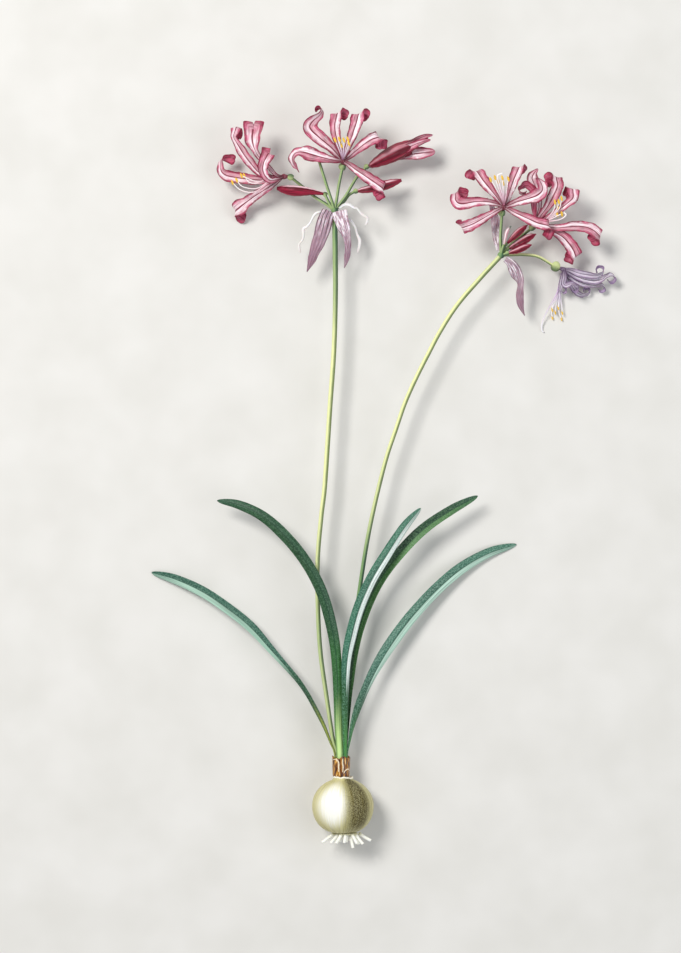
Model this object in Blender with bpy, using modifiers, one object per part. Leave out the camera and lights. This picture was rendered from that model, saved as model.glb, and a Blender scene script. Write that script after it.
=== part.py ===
"""A nerine plant, lifted from the ground and laid down: bulb, roots, leaves and two flower stems.

Lengths are millimetres from the middle of the bulb's resting place, and become metres in the mesh.
X runs across the plant, Y along it from the bulb to the flowers, Z up from the surface it lies on.
"""

import math

import bmesh
import bpy
import numpy as np

MM = 0.001
UP = np.array([0.0, 0.0, 1.0])

# Driving dimensions of the living parts.
GAP = 0.3
TEPAL = 0.6
LEAF = 0.7
PAPER = 0.6
FILAMENT_RADIUS = 0.35
PEDICEL_RADIUS = 0.75

BULB_RADIUS = 15.4
BULB_CENTRE = (0.0, 0.0, 15.0)
BULB_TOP = 13.9
BULB_BASE = -13.7

NECK_X = -0.95
NECK_BOTTOM = BULB_TOP + GAP
NECK_TOP = 23.7
NECK_OUTER = 4.4
NECK_INNER = 3.75
NECK_FLOOR = 16.0
LEAF_BASE = NECK_FLOOR + 0.35


def start():
    """An empty file with one collection, named for the plant."""
    for thing in list(bpy.data.objects):
        bpy.data.objects.remove(thing, do_unlink=True)
    plant = bpy.data.collections.new("nerine_plant")
    bpy.context.scene.collection.children.link(plant)
    return plant


PLANT = start()


def material(name, colour, roughness):
    """A plain Principled surface in one colour."""
    surface = bpy.data.materials.new(name)
    surface.use_nodes = True
    shader = surface.node_tree.nodes["Principled BSDF"]
    shader.inputs["Base Color"].default_value = (*colour, 1.0)
    shader.inputs["Roughness"].default_value = roughness
    shader.inputs["Metallic"].default_value = 0.0
    return surface


BULB_SKIN = material("bulb_skin", (0.80, 0.77, 0.55), 0.45)
ROOT_WHITE = material("root_white", (0.85, 0.85, 0.72), 0.6)
TUNIC_BROWN = material("tunic_brown", (0.20, 0.08, 0.02), 0.4)
LEAF_GREEN = material("leaf_green", (0.06, 0.26, 0.12), 0.4)
STEM_GREEN = material("stem_green", (0.45, 0.55, 0.16), 0.45)
TEPAL_PINK = material("tepal_pink", (0.80, 0.28, 0.38), 0.5)
BUD_CRIMSON = material("bud_crimson", (0.55, 0.03, 0.09), 0.45)
WITHERED_LILAC = material("withered_lilac", (0.42, 0.25, 0.48), 0.6)
SPATHE_MAUVE = material("spathe_mauve", (0.62, 0.36, 0.46), 0.65)
STAMEN_PALE = material("stamen_pale", (0.85, 0.62, 0.50), 0.5)


def freeze(thing, name=None):
    """The object with its modifiers applied, as a welded mesh that takes its place."""
    graph = bpy.context.evaluated_depsgraph_get()
    mesh = bpy.data.meshes.new_from_object(thing.evaluated_get(graph))
    work = bmesh.new()
    work.from_mesh(mesh)
    bmesh.ops.transform(work, matrix=thing.matrix_world, verts=work.verts)
    bmesh.ops.remove_doubles(work, verts=work.verts, dist=0.00001)
    bmesh.ops.recalc_face_normals(work, faces=work.faces)
    work.to_mesh(mesh)
    work.free()
    label = name or thing.name
    bpy.data.objects.remove(thing, do_unlink=True)
    solid = bpy.data.objects.new(label, mesh)
    PLANT.objects.link(solid)
    return solid


def finish(solid, surface, name=None, smooth=40.0):
    """Name a finished sub-part and give it its material and soft shading."""
    solid.name = name or solid.name
    solid.data.name = solid.name
    solid.data.materials.clear()
    solid.data.materials.append(surface)
    solid.data.shade_smooth()
    solid.data.set_sharp_from_angle(angle=math.radians(smooth))
    return solid


def fuse(name, pieces, surface):
    """One closed body of overlapping pieces, by a Boolean union on their collection."""
    body, *rest = [freeze(piece) for piece in pieces]
    group = bpy.data.collections.new(name + "_pieces")
    bpy.context.scene.collection.children.link(group)
    for piece in rest:
        PLANT.objects.unlink(piece)
        group.objects.link(piece)
    union = body.modifiers.new("union", "BOOLEAN")
    union.operation = "UNION"
    union.operand_type = "COLLECTION"
    union.collection = group
    union.solver = "EXACT"
    bpy.context.view_layer.update()
    joined = freeze(body, name)
    for piece in list(group.objects):
        bpy.data.objects.remove(piece, do_unlink=True)
    bpy.data.collections.remove(group)
    return finish(joined, surface, name)


def unit(vectors):
    """The directions of the vectors."""
    return vectors / np.linalg.norm(vectors, axis=-1, keepdims=True)


def smooth_path(points, per_span=12):
    """A Catmull-Rom curve through the points, as close points."""
    knots = np.array(points, dtype=float)
    ends = np.vstack([2 * knots[0] - knots[1], knots, 2 * knots[-1] - knots[-2]])
    t = np.linspace(0.0, 1.0, per_span, endpoint=False)[:, None]
    spans = []
    for a, b, c, d in zip(ends, ends[1:], ends[2:], ends[3:]):
        bend = (2 * a - 5 * b + 4 * c - d) * t**2 + (3 * b - a - 3 * c + d) * t**3
        spans.append(b + 0.5 * ((c - a) * t + bend))
    return np.vstack(spans + [knots[-1:]])


def spread_points(points, count):
    """The smooth path through the points, read at steps that are shorter where it bends."""
    path = smooth_path(points)
    steps = np.linalg.norm(np.diff(path, axis=0), axis=1)
    bends = np.linalg.norm(np.diff(unit(np.gradient(path, axis=0)), axis=0), axis=1)
    effort = np.concatenate([[0.0], np.cumsum(steps + 0.4 * steps.sum() * bends)])
    wanted = np.linspace(0.0, effort[-1], count)
    length = np.concatenate([[0.0], np.cumsum(steps)])
    s = np.interp(wanted, effort, length) / length[-1]
    return np.stack([np.interp(wanted, effort, path[:, k]) for k in range(3)], axis=-1), s


def eased(values, s):
    """Values spaced evenly over 0 to 1, with soft steps from each to the next."""
    values = np.array(values, dtype=float)
    place = np.clip(s, 0.0, 1.0) * (len(values) - 1)
    low = np.minimum(place.astype(int), len(values) - 2)
    step = place - low
    step = step * step * (3 - 2 * step)
    return values[low] * (1 - step) + values[low + 1] * step


def blade_frame(points, rolls, curl):
    """Middle line, side and face directions of a blade, and its rolled-back tip.

    The face looks up where the roll is 0. The tip rolls away from the face on an arc that
    tightens, of the given first radius and number of turns.
    """
    centre = smooth_path(points)
    tangent = unit(np.gradient(centre, axis=0))
    side = unit(np.cross(UP, tangent))
    face = np.cross(tangent, side)
    length = np.linalg.norm(np.diff(centre, axis=0), axis=1)
    s = np.concatenate([[0.0], np.cumsum(length)]) / length.sum()
    roll = np.radians(eased(rolls, s))[:, None]
    side, face = side * np.cos(roll) + face * np.sin(roll), face * np.cos(roll) - side * np.sin(roll)
    radius, turns = curl
    if turns:
        angle = np.linspace(0.0, 2 * np.pi * turns, 40)[1:, None]
        heading = tangent[-1] * np.cos(angle) - face[-1] * np.sin(angle)
        reach = radius * (1 - 0.4 * angle / angle[-1]) * angle[0]
        centre = np.vstack([centre, centre[-1] + np.cumsum(heading * reach, axis=0)])
        turned = face[-1] * np.cos(angle) + tangent[-1] * np.sin(angle)
        face = np.vstack([face, turned])
        side = np.vstack([side, np.repeat(side[-1:], len(angle), axis=0)])
        tangent = np.vstack([tangent, heading])
    steps = np.linalg.norm(np.diff(centre, axis=0), axis=1)
    bends = np.linalg.norm(np.diff(tangent, axis=0), axis=1)
    along = np.concatenate([[0.0], np.cumsum(steps)])
    effort = np.concatenate([[0.0], np.cumsum(steps + 3.0 * bends)])
    return centre, side, face, along / along[-1], effort / effort[-1]


def blade(name, points, width, rolls=(0, 0, 0), curl=(0, 0), outline=(0.34, 0.6, 0.9, 1, 0.9),
          trough=0.1, wave=(0.0, 0.0), thickness=TEPAL, grid=(12, 2), tip=0.93):
    """A strap or petal: a grid laid along its middle line, then thickened.

    The width follows the outline and rounds off past the tip fraction. The edges stand off the
    middle by the trough times the width, and swing by the wave's height in its number of waves.
    """
    centre, side, face, along, effort = blade_frame(points, rolls, curl)
    work = bmesh.new()
    bmesh.ops.create_grid(work, x_segments=grid[0], y_segments=grid[1], size=1.0)
    bmesh.ops.triangulate(work, faces=work.faces, quad_method="FIXED")
    mesh = bpy.data.meshes.new(name)
    work.to_mesh(mesh)
    work.free()
    flat = np.empty(len(mesh.vertices) * 3)
    mesh.vertices.foreach_get("co", flat)
    flat = flat.reshape(-1, 3)
    at = flat[:, 0] * 0.5 + 0.5
    across = flat[:, 1]

    def read(values):
        return np.stack([np.interp(at, effort, values[:, k]) for k in range(3)], axis=-1)

    s = np.interp(at, effort, along)
    past = np.clip((s - tip) / (1 - tip), 0.0, 1.0)
    wide = width * eased(outline, s) * np.sqrt(1 - 0.94 * past**2)
    height, count = wave
    swing = height * np.sin(2 * np.pi * count * s + across) * np.abs(across) * np.sin(np.pi * s)
    lift = trough * wide * across**2 + swing
    place = read(centre) + read(side) * (across * wide / 2)[:, None] + read(face) * lift[:, None]
    mesh.vertices.foreach_set("co", (place * MM).ravel())
    mesh.update()
    thing = bpy.data.objects.new(name, mesh)
    PLANT.objects.link(thing)
    shell = thing.modifiers.new("thickness", "SOLIDIFY")
    shell.thickness = thickness * MM
    shell.offset = 0.0
    bpy.context.view_layer.update()
    return thing


def tube(name, points, radii, count, resolution=1):
    """A round stalk: a poly curve with filled caps, its radius following the list."""
    path, s = spread_points(points, count)
    curve = bpy.data.curves.new(name, "CURVE")
    curve.dimensions = "3D"
    curve.bevel_depth = MM
    curve.bevel_resolution = resolution
    curve.use_fill_caps = True
    line = curve.splines.new("POLY")
    line.points.add(count - 1)
    for point, place, radius in zip(line.points, path, eased(radii, s)):
        point.co = (*(place * MM), 1.0)
        point.radius = radius
    thing = bpy.data.objects.new(name, curve)
    PLANT.objects.link(thing)
    bpy.context.view_layer.update()
    return thing


def ball(name, centre, radii, segments=8, rings=5, lobes=0.0):
    """A small swollen body, round or with three lobes about its own Z."""
    work = bmesh.new()
    bmesh.ops.create_uvsphere(work, u_segments=segments, v_segments=rings, radius=1.0)
    for vertex in work.verts:
        x, y, z = vertex.co
        swell = 1 + lobes * math.cos(3 * math.atan2(y, x)) * math.hypot(x, y)
        vertex.co = [c * MM + r * MM * v for c, r, v in zip(centre, radii, (x * swell, y * swell, z))]
    mesh = bpy.data.meshes.new(name)
    work.to_mesh(mesh)
    work.free()
    thing = bpy.data.objects.new(name, mesh)
    PLANT.objects.link(thing)
    return thing


def turned(name, profile, centre, steps):
    """A body of revolution about the plant's Y: the profile is (radius, distance along Y)."""
    mesh = bpy.data.meshes.new(name)
    points = [(radius * MM, 0.0, along * MM) for radius, along in profile]
    mesh.from_pydata(points, [(i, i + 1) for i in range(len(points) - 1)], [])
    thing = bpy.data.objects.new(name, mesh)
    thing.rotation_euler = (-math.pi / 2, 0.0, 0.0)
    thing.location = [c * MM for c in centre]
    PLANT.objects.link(thing)
    spin = thing.modifiers.new("turned", "SCREW")
    spin.steps = steps
    spin.render_steps = steps
    spin.use_merge_vertices = True
    spin.merge_threshold = 0.00001
    bpy.context.view_layer.update()
    return thing


def bulb():
    """The bulb: round, a little flattened, with a short neck, cut flat where it lies."""
    profile = [(0.0, BULB_TOP), (4.4, BULB_TOP)]
    shoulder = math.asin(5.2 / BULB_RADIUS)
    for step in range(12):
        angle = shoulder + (math.radians(162.6) - shoulder) * step / 11
        profile.append((BULB_RADIUS * math.sin(angle), 13.8 * math.cos(angle) - 0.5))
    profile += [(4.2, BULB_BASE), (0.0, BULB_BASE)]
    body = freeze(turned("bulb", profile, BULB_CENTRE, 22))
    bpy.ops.mesh.primitive_cube_add(size=40 * MM, location=(0.0, 0.0, -20 * MM))
    cutter = bpy.context.object
    cut = body.modifiers.new("flat", "BOOLEAN")
    cut.operation = "DIFFERENCE"
    cut.object = cutter
    cut.solver = "EXACT"
    bpy.context.view_layer.update()
    body = freeze(body)
    bpy.data.objects.remove(cutter, do_unlink=True)
    return finish(body, BULB_SKIN, "bulb", 60.0)


ROOT_TIPS = ((-10.5, -19.0, 14.0), (-6.2, -19.0, 17.5), (-1.2, -18.8, 12.0), (1.5, -18.4, 19.0),
             (3.0, -18.2, 11.5), (5.0, -21.6, 16.5), (8.0, -20.0, 12.5), (10.0, -19.5, 17.5),
             (13.9, -18.0, 15.0), (-4.0, -17.6, 9.5), (7.0, -17.5, 21.0), (-3.5, -17.8, 21.0))


def roots():
    """The basal plate under the bulb, and the trimmed roots that spread from it."""
    plate_top = BULB_BASE - GAP
    profile = [(0.0, plate_top), (4.3, plate_top), (5.0, plate_top - 0.8), (4.0, plate_top - 1.6),
               (0.0, plate_top - 2.0)]
    pieces = [turned("basal_plate", profile, BULB_CENTRE, 14)]
    for number, (x, y, z) in enumerate(ROOT_TIPS):
        height = BULB_CENTRE[2]
        start_point = (x * 0.3, plate_top - 0.9, height + (z - height) * 0.35)
        middle = (x * 0.75, (y + plate_top) / 2 + 0.4, height + (z - height) * 0.8)
        pieces.append(tube(f"root_{number}", [start_point, middle, (x, y, z)], (0.8, 0.72, 0.5), 4))
    return fuse("roots", pieces, ROOT_WHITE)


def neck_tunic():
    """A papery sleeve with a ragged rim round the leaf bases, closed below where it meets the bulb."""
    profile = [(0.0, NECK_FLOOR), (NECK_INNER, NECK_FLOOR), (NECK_INNER, NECK_TOP), (NECK_OUTER, NECK_TOP),
               (NECK_OUTER + 0.1, 19.0), (NECK_OUTER - 0.3, NECK_BOTTOM), (0.0, NECK_BOTTOM)]
    sleeve = freeze(turned("neck_tunic", profile[::-1], (NECK_X, 0.0, BULB_CENTRE[2]), 20))
    for vertex in sleeve.data.vertices:
        if vertex.co.y > (NECK_TOP - 0.1) * MM:
            turn = math.atan2(vertex.co.z - BULB_CENTRE[2] * MM, vertex.co.x - NECK_X * MM)
            vertex.co.y += (0.5 * math.sin(3 * turn + 0.6) + 0.3 * math.sin(7 * turn)) * MM
    return finish(sleeve, TUNIC_BROWN, "neck_tunic", 50.0)


def leaves():
    """Five strap leaves whose bases wrap the neck, crescent by crescent."""
    shape = dict(trough=-0.12, thickness=LEAF, grid=(22, 2), tip=0.9)
    made = [
        blade("leaf_low_left",
              [(-4.0, LEAF_BASE, 15), (-4.0, 22, 15), (-4.2, 25, 14.9), (-5, 28, 14.7), (-6.3, 30.7, 14.5),
               (-10.5, 40.5, 14), (-17.3, 53.5, 13.2), (-22.2, 61, 12.6), (-26.8, 66.6, 12.1),
               (-36.5, 77.5, 11), (-46.8, 88.9, 9.6), (-58.4, 98.3, 8), (-70.4, 106.2, 5.8), (-84.1, 112.4, 3.2),
               (-96.5, 115.8, 0.5)],
              5.4, rolls=(90, 60, 30, 0, 0), outline=(0.48, 0.74, 0.66, 1, 1, 0.8), **dict(shape, trough=0.12)),
        blade("leaf_high_left",
              [(-1.64, LEAF_BASE, 17.95), (-1.8, 25, 17.8), (-2.3, 40, 17.4), (-2.5, 57, 17.6), (-3.8, 78, 18.8),
               (-6.8, 94, 20.2), (-11.2, 108, 21.4), (-18.2, 121.2, 22), (-27.8, 133.4, 21.6), (-39.5, 144, 20),
               (-51.8, 150, 17.5), (-63, 152.2, 14.5)],
              5.6, rolls=(-13, 0, 0, 0), outline=(0.56, 0.86, 1, 1, 0.8), **shape),
        blade("leaf_centre",
              [(1.13, LEAF_BASE, 17.23), (1.13, 24.5, 17.25), (1.2, 31, 18), (1.2, 38, 18.8), (1.1, 50.5, 19.4), (1.7, 71.7, 20.6),
               (4.2, 85.5, 21.4), (8, 99, 22.2), (14, 112.8, 22.8), (21.5, 125.2, 23), (30.5, 139, 22),
               (38.8, 148.5, 20.5)],
              5.6, rolls=(43, 10, 0, 0), outline=(0.34, 0.6, 1, 1, 0.75), **shape),
        blade("leaf_high_right",
              [(0.84, LEAF_BASE, 12.53), (1.0, 25, 12.5), (1.8, 38, 12.3), (2.8, 52.5, 12.2), (4, 63, 12.1),
               (5.5, 75.5, 12), (8, 88, 12.2), (12.7, 101.5, 13), (19.2, 114, 14), (28.8, 126.5, 15),
               (40.5, 138.2, 15.3), (54.5, 147.7, 14.6), (67.5, 154.5, 13)],
              5.6, rolls=(144, 175, 180, 180), outline=(0.41, 0.6, 1, 1, 0.8), **shape),
        blade("leaf_low_right",
              [(2.1, LEAF_BASE, 15), (2.15, 25, 15), (3.4, 31.5, 15), (5.2, 39.6, 14.9), (8.7, 50.5, 14.2),
               (14.8, 65.5, 13), (19.8, 73, 12.2), (25, 81.5, 11.3), (29.6, 87.5, 10.6), (36, 95.5, 9.6),
               (47, 107.5, 7.6), (59.5, 118, 5.2), (73.5, 125.8, 2.8), (87.5, 130, 0.5)],
              6.3, rolls=(90, 40, 0, 0, 0), outline=(0.31, 0.85, 1, 0.95, 0.7), **shape),
    ]
    return [finish(freeze(leaf), LEAF_GREEN) for leaf in made]


LEFT_UMBEL = (-4.15, 297.2, 17.0)
RIGHT_UMBEL = (79.1, 275.0, 16.0)


def left_flower_stem():
    """The left scape, the pedicels that fan out at its top, and their ovaries."""
    scape = [(-2.15, LEAF_BASE, 15), (-2.2, 22, 15), (-2.55, 25, 15), (-3.4, 28, 15), (-5.2, 34, 15),
             (-8, 52.5, 15), (-11.3, 75.5, 15), (-12.7, 97, 15), (-13, 122, 15), (-11.3, 144, 15),
             (-9.8, 157.5, 15.1), (-8.4, 177.5, 15.3), (-7.1, 199.3, 15.6), (-4.9, 226, 16), (-4, 253, 16.5),
             (-3.9, 277.5, 16.9), (-4.2, 296, 17)]
    pieces = [tube("scape", scape, (0.95, 1.1, 1.1, 1.2, 1.2, 1.35), 24, 2),
              ball("receptacle", LEFT_UMBEL, (2.0, 1.9, 1.9))]
    x, y, z = LEFT_UMBEL
    routes = {
        "facing_left": [(x, y, z), (-8.3, 300.6, 13.6), (-14.5, 304.8, 11.4), (-20.5, 309.8, 11.8), (-25.8, 313.7, 16.5)],
        "low_bud": [(x, y, z), (-6.6, 300.5, 16.4), (-8.2, 303.6, 16), (-8.9, 305.3, 15.7)],
        "hidden": [(x, y, z), (-5.6, 302, 18.4), (-8.6, 311, 19.2), (-13, 325.4, 19.5)],
        "open": [(x, y, z), (-3, 303.5, 17.8), (-2, 310, 18.2), (-0.4, 317.6, 18.8)],
        "half_open": [(x, y, z), (1.3, 304.5, 16), (4.4, 309.9, 15.3), (7.3, 314.5, 14.8), (11.3, 318.6, 14.4)],
        "right_bud": [(x, y, z), (0.6, 302, 14.9), (3, 305.2, 14.2), (5.8, 306.9, 14)],
    }
    for name, route in routes.items():
        pieces.append(tube(name, route, (PEDICEL_RADIUS, PEDICEL_RADIUS, 0.7), 6))
    ovaries = [((-26.25, 314.15, 17.2), 1.5), ((-8.9, 305.6, 15.6), 1.15), ((-13.3, 326.2, 19.5), 0.95),
               ((-0.05, 319.0, 19.0), 1.75), ((11.85, 319.2, 14.3), 1.25), ((6.4, 307.0, 14.0), 1.2)]
    for place, radius in ovaries:
        pieces.append(ball("ovary", place, (radius * 1.15, radius, radius), 9, 4, 0.08))
    return fuse("left_flower_stem", pieces, STEM_GREEN)


def right_flower_stem():
    """The right scape, its pedicels and ovaries, and the swollen fruit of the withered bloom."""
    scape = [(0.25, LEAF_BASE, 15), (0.4, 25, 15), (1.2, 37.5, 15), (1.8, 52.5, 15), (2.5, 66.5, 15),
             (3.9, 80, 15), (5.8, 92.5, 15), (7.8, 104, 15), (9.8, 117.5, 15), (11.8, 130, 15),
             (14.2, 142.5, 15), (17.6, 157.6, 15.1), (21.9, 174.2, 15.2), (26.5, 187.9, 15.3),
             (31, 201, 15.4), (36.4, 213.2, 15.5), (42.6, 225.5, 15.6), (48.7, 237, 15.7),
             (57.1, 250, 15.8), (68.2, 263, 15.9), (78.6, 274.3, 16)]
    pieces = [tube("scape", scape, (0.95, 1.0, 1.05, 1.05, 1.1, 1.2), 26, 2),
              ball("receptacle", RIGHT_UMBEL, (2.0, 1.9, 1.8))]
    x, y, z = RIGHT_UMBEL
    routes = {
        "open": [(x, y, z), (78.8, 283.5, 17.5), (79.1, 290.5, 18.9), (79.4, 295, 20)],
        "facing_right": [(x, y, z), (83.3, 279.6, 12.9), (88.5, 284, 10.6), (92.4, 287, 11.6), (94.5, 288.4, 13.4)],
        "fruit": [(x, y, z), (84, 275.2, 13.8), (91, 275.4, 12.4), (98, 274.4, 11.4), (105.5, 270.2, 9.5)],
        "near_bud": [(x, y, z), (80.2, 278, 16.6), (81.2, 280, 16.9)],
        "low_bud": [(x, y, z), (81, 276.8, 15.4), (82.2, 277.9, 15)],
        "high_bud": [(x, y, z), (80.6, 275.3, 16.8), (81.8, 275.7, 17.2)],
        "young": [(x, y, z), (79.7, 277.8, 18), (80.3, 279.8, 19)],
    }
    for name, route in routes.items():
        pieces.append(tube(name, route, (PEDICEL_RADIUS, PEDICEL_RADIUS, 0.7), 6))
    ovaries = [((79.45, 295.9, 20.2), 1.7), ((94.9, 288.8, 14.2), 1.6), ((81.4, 280.3, 16.9), 1.0),
               ((82.3, 278.0, 14.9), 1.0), ((82.1, 275.8, 17.2), 1.0)]
    for place, radius in ovaries:
        pieces.append(ball("ovary", place, (radius * 1.1, radius, radius), 9, 4, 0.08))
    pieces.append(ball("fruit_body", (106.65, 269.35, 9.0), (2.45, 2.45, 2.3), 12, 6, 0.12))
    return fuse("right_flower_stem", pieces, STEM_GREEN)


def spathes():
    """The four papery valves that held the umbels, and the threads between the pedicels."""
    paper = dict(thickness=PAPER, tip=0.92)
    made = [
        blade("left_spathe_outer",
              [(-7.7, 296.9, 19.6), (-8.5, 294.6, 20.8), (-9.4, 291, 21.2), (-10.6, 285.5, 20.6),
               (-12.2, 281, 19.6), (-14, 277.2, 18.4), (-15.8, 272.2, 16.6), (-18.1, 266.9, 14.6)],
              7.2, rolls=(0, 0, 0), outline=(0.6, 1, 0.88, 0.62, 0.3), trough=-0.16, wave=(0.25, 2.0),
              grid=(12, 4), **paper),
        blade("left_spathe_inner",
              [(-2.0, 296.9, 19.8), (-0.9, 292.5, 20.3), (0.9, 287, 20), (2.3, 282.5, 19.2),
               (2.6, 277.5, 18.2), (1.8, 272.5, 17), (0.6, 268.5, 15.8)],
              6.2, rolls=(0, 10, -30, 0), outline=(1, 0.85, 0.48, 0.55, 0.3), trough=-0.1, wave=(0.25, 2.0),
              grid=(12, 2), **paper),
        blade("right_spathe_upper",
              [(78.2, 277.4, 14.0), (77.6, 283, 13.6), (76.6, 290, 13.2), (75.6, 296, 13), (74, 301, 12.9),
               (72.3, 304, 12.8)],
              4.1, outline=(0.6, 1, 0.95, 0.6, 0.3), trough=-0.12, grid=(10, 2), **paper),
        blade("right_spathe_lower",
              [(81.2, 273.0, 18.3), (83.4, 271.2, 18.6), (85.3, 268.4, 18.2), (87, 264.6, 17.2),
               (88.3, 260.6, 15.8), (88.4, 255.4, 14.2), (89.1, 250, 12.6), (91.2, 244.8, 10.8)],
              5.4, rolls=(0, 0, 50, 10, 0), outline=(0.55, 1, 0.72, 0.56, 0.3), trough=-0.14, wave=(0.25, 2.0),
              grid=(14, 2), **paper),
        blade("left_thread_1",
              [(-6.3, 297.0, 15.4), (-12.1, 296.3, 17), (-14.5, 294.7, 17.2), (-16.5, 291, 16.8),
               (-18.2, 289.2, 16), (-19.8, 288, 15), (-20, 283.5, 13.6), (-22, 280.5, 12.4), (-21.5, 276.5, 11.4)],
              1.3, outline=(1, 0.8, 1, 0.6), trough=0.0, grid=(14, 1), **paper),
        blade("left_thread_2",
              [(-2.0, 298.3, 18.0), (0.5, 300, 19.4), (3, 300, 19.8), (5.5, 298.5, 19.6), (7, 298.2, 19.2),
               (9.2, 295.6, 18.4), (11.8, 294, 17.4), (12.1, 292.1, 16.6), (11.2, 289.6, 15.8)],
              1.2, outline=(0.8, 0.8, 1, 0.7), trough=0.0, grid=(14, 1), **paper),
        blade("left_thread_3",
              [(-2.0, 296.2, 15.6), (2.5, 293.5, 15.2), (4, 292.1, 15), (6, 289.2, 14.6), (7, 285.8, 14),
               (8.3, 283, 13.2), (8.3, 280.5, 12.4), (7.3, 276.2, 11.4)],
              1.5, outline=(0.7, 0.8, 1, 0.6), trough=0.0, grid=(14, 1), **paper),
    ]
    return [finish(freeze(valve), SPATHE_MAUVE) for valve in made]


def bud(name, points, radii, surface):
    """A closed bud: a spindle along its path, fattest towards the tip."""
    return finish(freeze(tube(name, points, radii, 9, 2)), surface)


def buds():
    """The buds that have not opened."""
    return [
        bud("left_bud_low", [(-10.6, 305.9, 15.9), (-16.1, 306.8, 16), (-26, 307.5, 15.6), (-33, 308.6, 14.4)],
            (0.8, 1.45, 2.1, 2.85, 2.2, 0.5), BUD_CRIMSON),
        bud("left_bud_right", [(8.0, 307.4, 14.0), (14, 308.3, 14), (22, 310.3, 13.7), (29.3, 312.7, 13.2)],
            (0.9, 1.9, 2.3, 2.5, 0.5), BUD_CRIMSON),
        bud("right_bud_near", [(82.7, 281.5, 17.0), (86, 284.6, 17), (89.5, 287.7, 16.8), (92.3, 290, 16.6)],
            (0.75, 1.4, 1.75, 1.4, 0.35), BUD_CRIMSON),
        bud("right_bud_low", [(83.9, 278.7, 14.6), (88, 280.9, 14), (92.5, 283.5, 13.6), (96.7, 285.7, 13.2)],
            (0.8, 1.7, 2.1, 1.8, 0.5), BUD_CRIMSON),
        bud("right_bud_high", [(83.5, 276.2, 17.3), (87, 277.2, 17.6), (90.8, 278.8, 17.7), (94.3, 280.1, 17.6)],
            (0.7, 1.4, 1.75, 1.5, 0.4), BUD_CRIMSON),
        bud("right_bud_young", [(80.45, 280.3, 19.2), (81.1, 283.6, 20.1), (82, 286.8, 20.6), (83.8, 289.2, 20.8)],
            (0.5, 0.6, 0.95, 0.35), SPATHE_MAUVE),
    ]


def perianth(name, heart, heart_radius, tepals, surface=TEPAL_PINK, **shape):
    """The tepals of one bloom, their bases sunk in its short tube."""
    pieces = [ball("tube", heart, (heart_radius,) * 3)]
    for number, (width, rolls, curl, points, *outline) in enumerate(tepals):
        form = dict(shape, outline=outline[0]) if outline else shape
        pieces.append(blade(f"tepal_{number}", [heart, *points], width, rolls, curl, **form))
    return fuse(name, pieces, surface)


def stamens(name, heart, filaments, anther, style):
    """Filaments from a small cup, each with its anther across its end, and the style."""
    pieces = [ball("cup", heart, (0.75,) * 3, 7, 4)]
    for number, route in enumerate(filaments):
        pieces.append(tube(f"filament_{number}", [heart, *route], (0.42, FILAMENT_RADIUS), 5, 0))
        end = np.array(route[-1])
        lean = np.array(anther) / 2
        pieces.append(tube(f"anther_{number}", [end - lean, end, end + lean], (0.3, 0.62, 0.3), 3, 0))
    if style:
        pieces.append(tube("style", [heart, *style], (0.42, FILAMENT_RADIUS), 8, 0))
    return fuse(name, pieces, STAMEN_PALE)


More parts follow.
